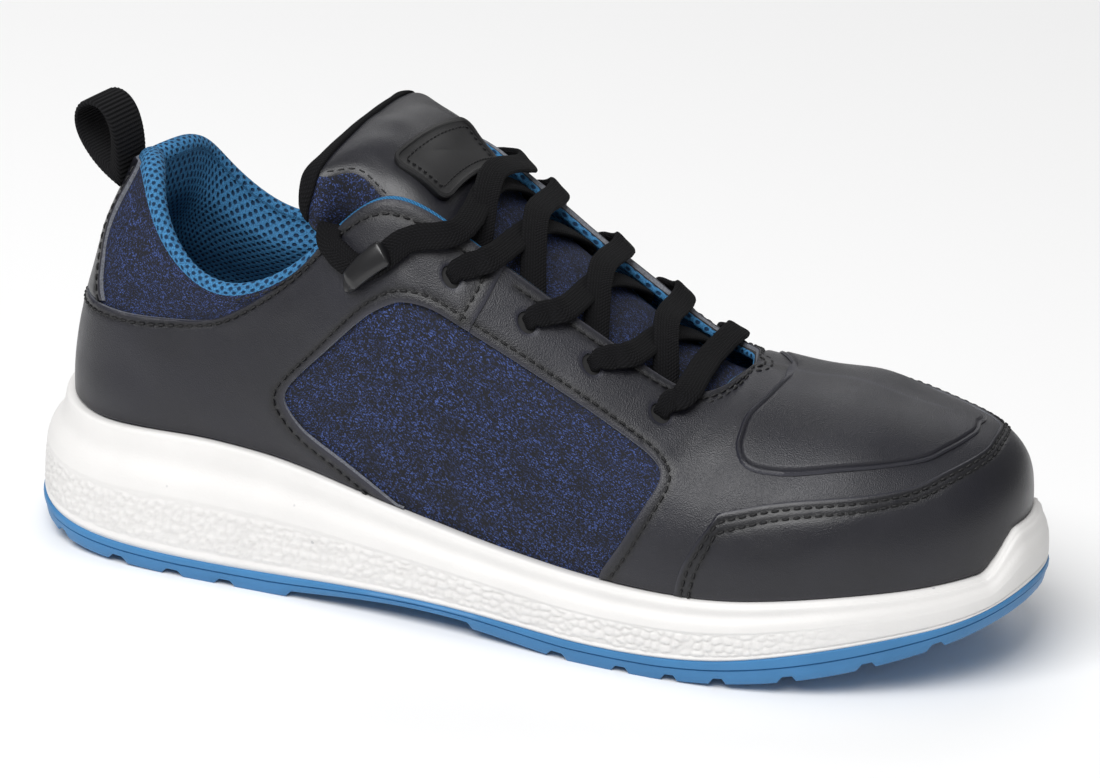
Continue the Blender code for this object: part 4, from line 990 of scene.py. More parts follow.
def leaned(rows):
    """The tongue's rows with its free end turned a little toward the medial side."""
    share = smooth(6.3, 9.5, np.arange(len(rows)))[:, None] * rows[..., 1]
    rows[..., 0] += TONGUE_SKEW[0] * share
    rows[..., 2] += TONGUE_SKEW[1] * share
    q = np.linspace(0, 1, rows.shape[1])
    over = smooth(0.04, 0.22, q) * smooth(0.96, 0.78, q)
    rows[..., 2] += np.interp(np.arange(len(rows)), *TONGUE_SWELL)[:, None] * over
    return rows


TONGUE = leaned(tongue_rows())
CROWN_RUN = run_along(TONGUE[:, TONGUE_POINTS // 2])


TURN = 6.2832


def node(tree, kind, inputs=None, **settings):
    """A shader node with its settings, and its inputs set or linked."""
    made = tree.nodes.new("ShaderNode" + kind)
    for key, value in settings.items():
        setattr(made, key, value)
    for key, value in (inputs or {}).items():
        if isinstance(value, bpy.types.NodeSocket):
            tree.links.new(value, made.inputs[key])
        else:
            made.inputs[key].default_value = value
    return made


def maths(tree, operation, *values):
    return node(tree, "Math", dict(enumerate(values)), operation=operation).outputs[0]


def times(tree, first, second):
    return maths(tree, "MULTIPLY", first, second)


def plus(tree, first, second):
    return maths(tree, "ADD", first, second)


def toned(colour, by):
    return tuple(c * by for c in colour)


def blend(tree, share, first, second):
    made = node(tree, "Mix", data_type="RGBA")
    for key, value in ((0, share), (6, first), (7, second)):
        if isinstance(value, bpy.types.NodeSocket):
            tree.links.new(value, made.inputs[key])
        else:
            made.inputs[key].default_value = (*value, 1.0) if key else value
    return made.outputs[2]


def ranged(tree, value, low, high, to_low=0.0, to_high=1.0, smoothly=False):
    kind = "SMOOTHSTEP" if smoothly else "LINEAR"
    inputs = {0: value, 1: low, 2: high, 3: to_low, 4: to_high}
    return node(tree, "MapRange", inputs, interpolation_type=kind).outputs[0]


def material(name, roughness=0.5, **sockets):
    made = bpy.data.materials.new(name)
    made.use_nodes = True
    tree = made.node_tree
    shader = tree.nodes["Principled BSDF"]
    shader.inputs["Roughness"].default_value = roughness
    for key, value in sockets.items():
        shader.inputs[key.replace("_", " ")].default_value = value
    return made, tree, shader


def coloured(tree, shader, tone):
    tree.links.new(tone, shader.inputs["Base Color"])


def roughened(tree, shader, value):
    tree.links.new(value, shader.inputs["Roughness"])


def bumped(tree, shader, height, strength, distance):
    made = node(tree, "Bump", {"Height": height, "Strength": strength, "Distance": distance})
    tree.links.new(made.outputs[0], shader.inputs["Normal"])


def run_of(tree):
    return node(tree, "UVMap", uv_map="run").outputs[0]


def place_of(tree):
    return node(tree, "TexCoord").outputs["Object"]


def noise(tree, vector, scale, detail=2.0, rough=0.5):
    inputs = {"Vector": vector, "Scale": scale, "Detail": detail, "Roughness": rough}
    return node(tree, "TexNoise", inputs).outputs[0]


def patches(tree, place, scale, low=0.3, high=0.7):
    """A slow share, 0 to 1, that changes over the surface."""
    return ranged(tree, noise(tree, place, scale, detail=3.0), low, high)


def mark(tree, name):
    """A value stored on the mesh."""
    return node(tree, "Attribute", attribute_name=name).outputs["Fac"]


def leather(name, colour, light, roughness, grain, coat):
    """Dark finished leather: a fine pebble grain, slow colour change and a lighter edge, partly rubbed and
    partly painted highlight.
    """
    made, tree, shader = material(name, roughness, Coat_Weight=coat, Coat_Roughness=0.28)
    place = place_of(tree)
    cells = node(tree, "TexVoronoi", {"Vector": place, "Scale": 3200.0}, feature="SMOOTH_F1").outputs[0]
    fine = noise(tree, place, scale=6500.0)
    bumped(tree, shader, plus(tree, cells, times(tree, fine, 0.4)), grain, distance=0.00028)
    tone = blend(tree, patches(tree, place, 38.0, 0.35, 0.65), colour, light)
    # Lighter band along the cut edge: partly the leather's rubbed edge and partly painted highlight where
    # the rolled edge catches light.
    rubbed_edge_and_highlight = ranged(tree, mark(tree, "inset"), 0.0, 0.0011, to_low=0.55, to_high=0.0)
    tone = blend(tree, rubbed_edge_and_highlight, tone, tuple(c * 2.6 + 0.008 for c in light))
    # Near-black painted shade in the sunk stitch grooves.
    tone = blend(tree, mark(tree, "seam_shade"), tone, (0.0012, 0.0012, 0.0015))
    coloured(tree, shader, tone)
    uneven = noise(tree, place, scale=70.0, detail=4.0)
    roughened(tree, shader, ranged(tree, uneven, 0.3, 0.7, roughness - 0.06, roughness + 0.09))
    return made


def raw_edge(name, colour):
    """The cut edge of leather, fuzzy and a little uneven."""
    made, tree, shader = material(name, 0.8)
    fuzz = noise(tree, place_of(tree), scale=1800.0, detail=3.0)
    coloured(tree, shader, blend(tree, ranged(tree, fuzz, 0.35, 0.65), toned(colour, 0.55), colour))
    bumped(tree, shader, fuzz, strength=0.5, distance=0.0002)
    return made


DASHES = ((0.5, (1250.0, 3000.0)), (-0.6, (1330.0, 3200.0)), (1.45, (1400.0, 3300.0)))


def flecked_textile(name):
    """Black cloth crowded with short blue dashes; the brighter dashes are partly the yarn's own tone and
    partly painted glint.
    """
    made, tree, shader = material(name, 0.72, Specular_IOR_Level=0.3)
    run = run_of(tree)
    masks, tones = [], []
    for turn, size in DASHES:
        turned = node(tree, "VectorRotate", {"Vector": run, "Angle": turn}, rotation_type="Z_AXIS")
        inputs = {0: turned.outputs[0], 1: (*size, 1.0)}
        scaled = node(tree, "VectorMath", inputs, operation="MULTIPLY").outputs[0]
        cells = node(tree, "TexVoronoi", {"Vector": scaled, "Scale": 1.0}, voronoi_dimensions="2D")
        pick = node(tree, "SeparateColor", {0: cells.outputs["Color"]}).outputs
        dash = ranged(tree, cells.outputs["Distance"], 0.42, 0.26, smoothly=True)
        masks.append(times(tree, dash, ranged(tree, pick[0], 0.58, 0.80)))
        tones.append(pick[1])
    mask = maths(tree, "MAXIMUM", maths(tree, "MAXIMUM", masks[0], masks[1]), masks[2])
    # Brightness of each dash, picked at random: partly the yarn's tone and partly painted glint.
    bright = ranged(tree, times(tree, tones[0], tones[1]), 0.05, 0.5)
    dashes = blend(tree, bright, (0.016, 0.026, 0.078), (0.060, 0.105, 0.330))
    patchy = ranged(tree, noise(tree, run, 160.0, 3.0), 0.30, 0.55, to_low=0.35, to_high=1.0)
    coloured(tree, shader, blend(tree, times(tree, mask, patchy), (0.0076, 0.0082, 0.0125), dashes))
    weave = noise(tree, run, scale=2200.0)
    bumped(tree, shader, plus(tree, weave, times(tree, mask, 0.8)), strength=0.5, distance=0.0002)
    return made


def spacer_mesh(name, web, hole, pitch=0.0025):
    """Knitted spacer fabric with staggered oval holes, their dark colour partly the under layer and partly
    painted shade.
    """
    made, tree, shader = material(name, 0.8, Specular_IOR_Level=0.3)
    run = node(tree, "SeparateXYZ", {0: run_of(tree)}).outputs
    across = maths(tree, "DIVIDE", run[0], pitch)
    up = maths(tree, "DIVIDE", run[1], pitch * 0.62)
    row = maths(tree, "FLOOR", up)
    shifted = plus(tree, across, times(tree, maths(tree, "MODULO", row, 2.0), 0.5))
    x = maths(tree, "SUBTRACT", maths(tree, "FRACT", shifted), 0.5)
    y = times(tree, maths(tree, "SUBTRACT", maths(tree, "FRACT", up), 0.5), 0.58)
    away = maths(tree, "SQRT", plus(tree, times(tree, x, x), times(tree, y, y)))
    wobble = noise(tree, place_of(tree), scale=900.0)
    away = plus(tree, away, ranged(tree, wobble, 0.3, 0.7, to_low=-0.05, to_high=0.05))
    solid = ranged(tree, away, 0.12, 0.29, smoothly=True)
    threads = noise(tree, place_of(tree), scale=2600.0)
    shade = blend(tree, ranged(tree, threads, 0.35, 0.65), toned(web, 0.55), toned(web, 1.15))
    # The holes' dark blue is partly the fabric's under layer and partly painted shade in the holes.
    coloured(tree, shader, blend(tree, solid, hole, shade))
    bumped(tree, shader, plus(tree, solid, times(tree, threads, 0.2)), strength=0.9, distance=0.0006)
    return made


def foam(name, colour):
    """Moulded foam: a fine skin, rare dark specks and shade between the pebbles."""
    made, tree, shader = material(name, 0.55, Subsurface_Weight=0.0)
    place = place_of(tree)
    specks = node(tree, "TexVoronoi", {"Vector": place, "Scale": 150.0})
    rare = node(tree, "SeparateColor", {0: specks.outputs["Color"]}).outputs[0]
    small = ranged(tree, specks.outputs["Distance"], 0.10, 0.06)
    dots = times(tree, small, ranged(tree, rare, 0.86, 0.88))
    tone = blend(tree, patches(tree, place, 55.0), colour, toned(colour, 0.955))
    tone = blend(tree, times(tree, dots, 0.55), tone, (0.30, 0.31, 0.34))
    tone = blend(tree, times(tree, mark(tree, "hollow"), 0.24), tone, (0.50, 0.49, 0.48))
    coloured(tree, shader, tone)
    coarse = times(tree, noise(tree, place, scale=260.0), 1.5)
    height = plus(tree, noise(tree, place, scale=1400.0), coarse)
    bumped(tree, shader, height, strength=0.25, distance=0.0002)
    return made


def rubber(name, colour):
    made, tree, shader = material(name, 0.46)
    place = place_of(tree)
    coloured(tree, shader, blend(tree, patches(tree, place, 45.0), colour, toned(colour, 0.86)))
    bumped(tree, shader, noise(tree, place, 1600.0, 3.0), strength=0.35, distance=0.0002)
    uneven = noise(tree, place, scale=90.0, detail=3.0)
    roughened(tree, shader, ranged(tree, uneven, 0.3, 0.7, to_low=0.38, to_high=0.55))
    return made


def woven(name, colour, pitch=0.0011, slant=0.9, cording=1.0):
    """A flat weave: a fine herringbone, or straight ribs without the slant."""
    made, tree, shader = material(name, 0.9, Specular_IOR_Level=0.15)
    run = node(tree, "SeparateXYZ", {0: run_of(tree)}).outputs
    slanted = plus(tree, run[0], times(tree, maths(tree, "ABSOLUTE", run[1]), slant))
    ribs = maths(tree, "SINE", times(tree, slanted, TURN / pitch))
    cords = maths(tree, "SINE", times(tree, run[1], TURN / (pitch * 0.75)))
    cords = times(tree, cords, cording)
    knit = times(tree, plus(tree, ribs, 1.0), plus(tree, cords, 1.3))
    fuzz = noise(tree, place_of(tree), scale=2400.0, detail=3.0)
    height = plus(tree, times(tree, knit, 0.3), times(tree, fuzz, 0.5))
    bumped(tree, shader, height, strength=0.8, distance=0.00035)
    lit = ranged(tree, knit, 0.0, 3.0)
    coloured(tree, shader, blend(tree, lit, toned(colour, 0.55), toned(colour, 1.5)))
    return made


def plain(name, colour, roughness, coat=0.0, grain=0.12):
    made, tree, shader = material(name, roughness, Coat_Weight=coat, Coat_Roughness=0.2)
    place = place_of(tree)
    coloured(tree, shader, blend(tree, patches(tree, place, 60.0), colour, toned(colour, 0.8)))
    bumped(tree, shader, noise(tree, place, 1500.0, 3.0), grain, distance=0.0002)
    return made


BLACK = leather(
    "black_leather_fine", (0.0072, 0.0073, 0.0118), (0.0110, 0.0112, 0.0175),
    roughness=0.37, grain=0.46, coat=0.06,
)
SMOOTH = leather(
    "smooth_leather_fine", (0.0062, 0.0063, 0.0100), (0.0092, 0.0093, 0.0145),
    roughness=0.36, grain=0.28, coat=0.10,
)
EDGE = raw_edge("raw_edge", (0.20, 0.21, 0.24))
DARK_EDGE = raw_edge("dark_edge", (0.011, 0.0115, 0.014))
TEXTILE = flecked_textile("flecked_textile")
# Web colour, then the holes' dark blue, which is partly painted shade.
MESH = spacer_mesh("spacer_mesh", (0.048, 0.205, 0.420), (0.004, 0.026, 0.070))
FOAM = foam("foam", (0.78, 0.768, 0.755))
RUBBER = rubber("blue_rubber", (0.045, 0.205, 0.440))
WOVEN = woven("woven_lace", (0.0066, 0.0066, 0.0076))
GROSGRAIN = woven("grosgrain", (0.0095, 0.0095, 0.0105), pitch=0.0013, slant=0.0, cording=0.25)
THREAD = plain("thread", (0.0050, 0.0050, 0.0062), 0.62)
GLOSS = plain("moulded_black", (0.0060, 0.0060, 0.0072), 0.34, coat=0.25, grain=0.10)
LABEL = plain("moulded_label", (0.0050, 0.0050, 0.0060), 0.46, coat=0.05, grain=0.12)
BLUE_TAPE = woven("blue_tape", (0.040, 0.190, 0.400), 0.0009)
BED = plain("footbed", (0.035, 0.090, 0.190), 0.85, grain=0.6)
# Near-black painted shade for the depth of the punched holes.
HOLE_SHADE = plain("eyelet_hole_shade", (0.002, 0.002, 0.0025), 0.7)


def refine(rings, parts):
    """Rings of points with smooth ones added between them."""
    rings = [np.asarray(ring) for ring in rings]
    padded = [2 * rings[0] - rings[1], *rings, 2 * rings[-1] - rings[-2]]
    found = []
    for a, b, c, d in zip(padded, padded[1:], padded[2:], padded[3:]):
        found += [catmull_point(a, b, c, d, t) for t in np.arange(parts) / parts]
    found.append(rings[-1])
    return np.array(found)


# Midsole wall: shares of its height, sections and lengths
SOLE_SECTIONS = 1000
WALL_SPLIT, WALL_FINE, WALL_PLAIN = 4, 9, 4
PLAIN_SHARE, PLAIN_SPAN = 0.65, (8.6, 11.4)
LIP_INSIDE = ((0.0022, 0.0004), (0.0036, 0.0060))
PEBBLE_SIZE, PEBBLE_FLAT, PEBBLE_SEED = 0.0029, 0.8, 3
PEBBLE_JITTER, PEBBLE_TABLE = 0.44, (64, 512)
PEBBLE_FOOT, PEBBLE_TOP, PEBBLE_END = (0.07, 0.13), (0.42, 0.50), (8.2, 11.2)
PEBBLE_HEIGHT, PEBBLE_LEVEL, PEBBLE_GAP = 0.0005, 0.75, 0.42
LEDGE_FOOT, LEDGE_TOP, LEDGE_OUT = (0.47, 0.53), (0.60, 0.80), 0.0005
LINE_AT, LINE_HALF, LINE_DEPTH = 0.085, 0.018, 0.00045


def pebbles(along, up, size, seed):
    """Height, 0 to 1, of rounded cells over a plane, and how deep between them it is."""
    draw = np.random.default_rng(seed)
    jitter = draw.uniform(-PEBBLE_JITTER, PEBBLE_JITTER, (*PEBBLE_TABLE, 2))
    x, y = along / size, up / (size * PEBBLE_FLAT)
    cell_x, cell_y = np.floor(x).astype(int), np.floor(y).astype(int)
    best = np.full((2, *x.shape), 9.0)
    for i in (-1, 0, 1):
        for j in (-1, 0, 1):
            shift = jitter[(cell_y + j) % PEBBLE_TABLE[0], (cell_x + i) % PEBBLE_TABLE[1]]
            away = np.hypot(cell_x + i + 0.5 + shift[..., 0] - x, cell_y + j + 0.5 + shift[..., 1] - y)
            second = np.minimum(best[1], np.maximum(best[0], away))
            best = np.stack([np.minimum(best[0], away), second])
    return smooth(0.0, PEBBLE_GAP, best[1] - best[0])


def build_midsole():
    """The foam cup: a flared wall with pebbles, its ledge and the lip round the upper."""
    s = np.linspace(0, LOOP, SOLE_SECTIONS + 1)[:-1]
    flare, bottom, top = spread(s), level("line", s), lip(s)
    height = top - bottom
    shape = (
        (flare - EDGE_ROUND / 2, 0.0),
        (flare, 0.06),
        (flare * 0.985, 0.25),
        (flare * 0.955, 0.44),
        (0.86 * flare + 0.04 * LIP_WIDTH, 0.53),
        (0.66 * flare + 0.24 * LIP_WIDTH, 0.64),
        (0.30 * flare + 0.55 * LIP_WIDTH, 0.76),
        (LIP_WIDTH + LIP_ROUND / 2, 0.89),
    )
    reach = folded(s)
    plainly = PLAIN_SHARE * smooth(*PLAIN_SPAN, reach)
    rings = []
    for offset, share in shape:
        straight = flare + (LIP_WIDTH - flare) * share**3
        rings.append(sole_point(s, offset + (straight - offset) * plainly, bottom + share * height))
    rings.append(sole_point(s, LIP_WIDTH, top - LIP_ROUND))
    low, high = refine(rings, WALL_FINE), refine(rings, WALL_PLAIN)
    body = np.concatenate([low[: WALL_SPLIT * WALL_FINE], high[WALL_SPLIT * WALL_PLAIN :]])
    edge = [
        sole_point(s, LIP_WIDTH - 0.3 * LIP_ROUND, top - 0.3 * LIP_ROUND),
        sole_point(s, LIP_WIDTH - LIP_ROUND, top),
        *(sole_point(s, 0 * s - inward, top - down) for inward, down in LIP_INSIDE),
    ]
    share = (body[..., 2] - bottom) / height
    fade = 1 - smooth(*PEBBLE_END, reach)
    run = run_along(sole_point(s, flare, 0 * s))
    band = smooth(*PEBBLE_FOOT, share) * (1 - smooth(*PEBBLE_TOP, share)) * fade
    cells = pebbles(np.broadcast_to(run, share.shape), body[..., 2], PEBBLE_SIZE, PEBBLE_SEED)
    ledge = smooth(*LEDGE_FOOT, share) * (1 - smooth(*LEDGE_TOP, share)) * (1 - smooth(*PLAIN_SPAN, reach))
    out = band * (cells - PEBBLE_LEVEL) * PEBBLE_HEIGHT + ledge * LEDGE_OUT
    groove = np.exp(-(((share - LINE_AT) / LINE_HALF) ** 2)) * LINE_DEPTH
    body = body + outward(s) * (out - groove)[..., None]
    everything = np.concatenate([body, np.array(edge)])
    count = len(s)
    hollow = np.zeros(everything.shape[:2])
    hollow[: len(body)] = band * (1 - cells)
    faces = strip_faces(len(everything), count)
    piece = make_piece(
        "midsole_foam_cup", everything.reshape(-1, 3), faces, FOAM, marks={"hollow": hollow.ravel()}
    )
    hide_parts("midsole")


# Tread: shares of its own sizes, sections and lengths
CHAMFER_RUN, NOTCH_SHARE = 1.6, 0.72
TREAD_STATIONS, STATION_CLEAR = 105, 0.03
SOLE_LAP = 0.0002
NOTCH_RISE, SEAM_LEVEL = 0.62, 0.42
SEAM_SUNK, SEAM_SPREAD = 0.0004, 0.0003
TREAD_TOP_INSIDE = 0.004
TREAD_ACROSS = (0.03, 0.12, 0.22, 0.34, 0.45, 0.462, 0.538, 0.55, 0.66, 0.78, 0.88, 0.97)


def tread_rows():
    """Stations from heel to toe with each notch's edges, and how deeply they are cut."""
    section = LENGTH / TOE
    slope, flat = CHAMFER_RUN * TREAD_CHAMFER / section, NOTCH_SHARE * TREAD_GROOVE / section / 2
    stops = {LUGS_END: 0.0, LUGS_END + slope: 1.0, LUGS_START - slope: 1.0, LUGS_START: 0.0}
    for at in NOTCHES:
        for shift, depth in ((-flat - slope, 0.0), (-flat, 1.0), (flat, 1.0), (flat + slope, 0.0)):
            stops[at + shift] = depth
    order = sorted(stops)
    for u in np.linspace(0, TOE, TREAD_STATIONS):
        if min(abs(u - at) for at in order) > STATION_CLEAR or u in (0, TOE):
            low = max((at for at in order if at < u), default=None)
            high = min((at for at in order if at > u), default=None)
            both = low is not None and high is not None and stops[low] == stops[high] == 1.0
            stops[float(u)] = 1.0 if both else 0.0
    order = sorted(stops)
    return np.array(order), np.array([stops[u] for u in order])


def build_outsole():
    """Rubber tread: a seam line round the side, notches, chevron lugs and a centre groove."""
    stations, cut = tread_rows()
    s = whole_loop(stations)
    depth = TREAD_DEPTH * np.concatenate([cut, cut[-2:0:-1]])
    flare, top = spread(s), level("line", s) + SOLE_LAP
    lug = np.minimum(ground(s) + depth * NOTCH_RISE, top - 2 * EDGE_ROUND)
    plate = np.minimum(ground(s) + TREAD_DEPTH, top - EDGE_ROUND)
    line = plate + (top - plate) * SEAM_LEVEL
    rings = [
        sole_point(s, flare - EDGE_ROUND, lug),
        sole_point(s, flare - EDGE_ROUND / 2, lug + (plate - lug) * 0.35),
        sole_point(s, flare - EDGE_ROUND / 4, plate),
        sole_point(s, flare, line - SEAM_SPREAD),
        sole_point(s, flare - SEAM_SUNK, line),
        sole_point(s, flare + EDGE_ROUND / 4, line + SEAM_SPREAD),
        sole_point(s, flare + EDGE_ROUND / 3, (line + top) / 2),
        sole_point(s, flare + EDGE_ROUND / 6, top - SEAM_SUNK),
        sole_point(s, flare - EDGE_ROUND / 2, top),
        sole_point(s, flare - TREAD_TOP_INSIDE, top),
    ]
    count, half = len(s), len(s) // 2
    points, faces = [np.concatenate(rings)], strip_faces(len(rings), count)
    total, rows, inner = len(rings) * count, [], []
    for k in range(1, half):
        u, row = stations[k], [k]
        for t in TREAD_ACROSS:
            bend = CHEVRON * (1 - abs(2 * t - 1)) * min(1.0, 2 * u / TOE, 2 * (TOE - u) / TOE)
            at = min(u + bend, TOE - 0.05)
            near, far = (
                sole_point(np.array(side), spread(side) - EDGE_ROUND, 0.0) for side in (at, LOOP - at)
            )
            middle = abs(t - 0.5) * np.linalg.norm(far - near) < CENTRE_GROOVE / 2
            point = near + (far - near) * t
            point[2] = ground(at) + TREAD_DEPTH * max(cut[k], 1.0 if middle else 0.0)
            point[2] = min(point[2], level("line", at) - 2 * EDGE_ROUND)
            row.append(total + len(inner))
            inner.append(point)
        rows.append(row + [count - k])
    points.append(np.array(inner))
    faces += [[0, b, a] for a, b in zip(rows[0], rows[0][1:])]
    for low, high in zip(rows, rows[1:]):
        faces += [[low[k], low[k + 1], high[k + 1], high[k]] for k in range(len(low) - 1)]
    faces += [[half, a, b] for a, b in zip(rows[-1], rows[-1][1:])]
    piece = make_piece("outsole_tread", np.concatenate(points), faces, RUBBER, sharp=35)
    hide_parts("outsole")


COLLAR_ANGLES = (18, 36, 54, 72, 90, 108, 126, 144, 162)
COLLAR_END = 4.3
PAD_FADE = (COLLAR_ROWS - 1.4, COLLAR_ROWS + 0.9)
PAD_RISE = (0.35, 0.86)
ROLL_THIN, ROLL_FULL, ROLL_FADE = 0.25, 0.42, (0.2, 2.6)
BAND_FROM = 0.982
TAPE_END = 6.06
CLOTH_SUNK = 0.00015
CLOTH_WAVES = (0.03, 0.0002, 5)


def rolled_rim(points, normals, outer, inner, edges, angles):
    """Points and faces of a round rim between a sheet's two faces, and each edge point's own."""
    count = len(points)
    following, before = dict(edges), {b: a for a, b in edges}
    extra, rims, bands = [], {}, []
    for k in following:
        away = unit(np.cross(points[following[k]] - points[before.get(k, k)], normals[k]))
        middle, half = (outer[k] + inner[k]) / 2, (outer[k] - inner[k]) / 2
        rims[k] = [2 * count + len(extra) + n for n in range(len(angles))]
        for angle in np.radians(angles):
            extra.append(middle + half * math.cos(angle) + away * np.linalg.norm(half) * math.sin(angle))
    for a, b in edges:
        first, second = [a, *rims[a], a + count], [b, *rims[b], b + count]
        bands += [[second[k], first[k], first[k + 1], second[k + 1]] for k in range(len(first) - 1)]
    return np.array(extra), rims, bands


def rim_kind(s, step):
    """Lining round the collar, tape along the lateral throat, cut cloth elsewhere."""
    at = folded(s)
    if at < COLLAR_END:
        return 1
    if at < TAPE_END and s < TOE:
        return 3
    return 2 if step < 3 else 1


def build_shell():
    """Textile outside, rolled collar and lining: the whole wall of the upper."""
    rows = np.concatenate([[-0.1], ROWS])
    rings = [base_ring(COLUMNS, recess())] + [skin(COLUMNS, v) for v in ROWS]
    s = np.tile(COLUMNS, len(rings))
    v = np.repeat(rows, len(COLUMNS))
    faces = strip_faces(len(rings), len(COLUMNS))
    points, faces, (s, v) = welded(np.concatenate(rings), faces, (s, v))
    normals = mesh_normals(points, faces)
    section = folded(s)
    collar = 1 - smooth(*PAD_FADE, section)
    roll = ROLL_THIN + ROLL_FULL * (1 - smooth(*ROLL_FADE, section))
    pad = (COLLAR_PAD - WALL) * collar * smooth(*PAD_RISE, v)
    pad *= 1 - (1 - roll) * smooth(PAD_RISE[1], 1.0, v)
    depth = OVERLAY + CLOTH_SUNK - crease(s, v) - waves(points, *CLOTH_WAVES)
    depth = np.where(v < 0, recess(), depth)
    outer = points - normals * depth[:, None]
    inner = points - normals * (recess() + WALL + pad)[:, None]
    count = len(points)
    back = [[k + count for k in reversed(face)] for face in faces]
    edges = [(a, b) for a, b in border(faces) if v[a] > 0.99 and v[b] > 0.99]
    extra, rims, bands = rolled_rim(points, normals, outer, inner, edges, COLLAR_ANGLES)
    steps = len(COLLAR_ANGLES) + 1
    kinds = [rim_kind(s[a], k) for a, _ in edges for k in range(steps)]
    uv = flat_run(s, v)
    uv_extra = []
    for k in rims:
        width = np.linalg.norm(outer[k] - inner[k]) * np.pi / 2
        uv_extra += [uv[k] + (0, width * n / steps) for n in range(1, steps)]
    middle_v = np.array([v[face].mean() for face in faces])
    middle_s = folded(np.array([s[face[0]] for face in faces]))
    front = np.where((middle_v > BAND_FROM) & (middle_s < COLLAR_END), 1, 0)
    which = np.concatenate([front, np.ones(len(back), int), kinds])
    piece = make_piece(
        "upper_shell", np.concatenate([outer, inner, extra]), faces + back + bands,
        [TEXTILE, MESH, DARK_EDGE, BLUE_TAPE], which, np.concatenate([uv, uv, np.array(uv_extra)]),
    )
    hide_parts("upper")


INSOLE_SECTIONS = 240
INSOLE_EDGE, INSOLE_ROUND = 0.7, 0.0012


def build_insole():
    """The padded bed inside, as high as its cup allows."""
    s = np.linspace(0, LOOP, INSOLE_SECTIONS + 1)[:-1]
    inset = WALL + recess() + TUCK + GAP
    base = level("floor", s) + GAP
    heights = ((0.0, 0.0), (0.0, INSOLE_EDGE), (INSOLE_ROUND, 1.0))
    rings = [sole_point(s, 0 * s - inset - away, base + INSOLE_THICK * rise) for away, rise in heights]
    count, half = len(s), len(s) // 2
    faces = strip_faces(len(rings), count)
    top = (len(rings) - 1) * count
    faces.append([top, top + 1, top + count - 1])
    for k in range(1, half - 1):
        faces.append([top + k, top + k + 1, top + count - k - 1, top + count - k])
    faces.append([top + half - 1, top + half, top + half + 1])
    points = np.concatenate(rings)
    piece = make_piece("insole_bed", points, faces, BED, uv=points[:, :2])
    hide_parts("insole")


# Stitch rows and laps of the leather, as lengths from an edge
PLATEAU_LINES = (0.0010, 0.0013, 0.0016, 0.0019, 0.0023, 0.0028)
PLATEAU_EDGE_ROUND = 0.0005
PLATEAU_DEPTH = 0.0004
GROOVE_AT, GROOVE_HALF, GROOVE_DEPTH = 0.0016, 0.00035, 0.00035
BEAD_TO, BEAD_RISE = 0.0023, 0.0002
EDGE_ROW = 0.0034
EDGE_ROW_SPAN = (3.2, 5.9)
THROAT_ROWS = ((0.0030, 6.32), (0.0054, 8.3))
GUARD_ROWS = (-0.0022, -0.0047)
BACKSTAY_ROW = 0.0022
PANEL_FOOT = 0.0003
LAP_RISE, LAP_HALF = 0.0009, 0.005
TUCK_UNDER = 0.0022
GUARD_LAP = -0.0020


def lateral_and_medial(curve):
    return [curve, np.array([(-s, v) for s, v in curve])[::-1]]


def throat_row(away, start):
    """A stitch row a length inside the throat's edge, round its front end."""
    s = np.linspace(start, RIDGE_FROM, 160)
    side = np.stack([s, 1 - away / FLAT[1] + 0 * s], 1)
    turns = np.radians(np.arange(10, 90, 10))
    ahead = away / FLAT[0]
    bend = np.stack([RIDGE_FROM + ahead * np.sin(turns), 1 - away / FLAT[1] * np.cos(turns)], 1)
    half = np.concatenate([side, bend])
    return np.concatenate([half, [[RIDGE_FROM + ahead, 1.0]], other_side(half)])


def under_seam(seam):
    """Height of the side panel's edge where it laps over the eyestay."""
    def lifted(spots):
        near = np.minimum(curve_distance(seam, spots), curve_distance(seam * (-1, 1), spots))
        return LAP_RISE * np.exp(-((near / LAP_HALF) ** 2))
    return lifted


def vamp_tucked():
    """The vamp's outline, tucked under the side panel and the toe guard."""
    seam = beside(catmull(STAY_SEAM, PANEL_STEP), TUCK_UNDER)
    front = catmull(PANEL_FRONT, PANEL_STEP)
    front[-1, 1] = rest_share(front[-1, 0])[0]
    front = front[front[:, 0] > seam[0, 0] + 0.02]
    guard = beside(guard_curve(), GUARD_LAP)
    guard[0, 1], guard[-1, 1] = (rest_share(guard[k, 0])[0] for k in (0, -1))
    legs = [seam[::-1], front, along_columns(front[-1, 0], guard[0, 0], rest_share), guard]
    legs += [other_side(leg) for leg in legs[2::-1]]
    legs.append(along_columns(LOOP - seam[-1, 0], seam[-1, 0], one))
    return joined(*legs)


def both_sides(eyelets):
    return [(on, v) for s, v in eyelets for on in (s, LOOP - s)]


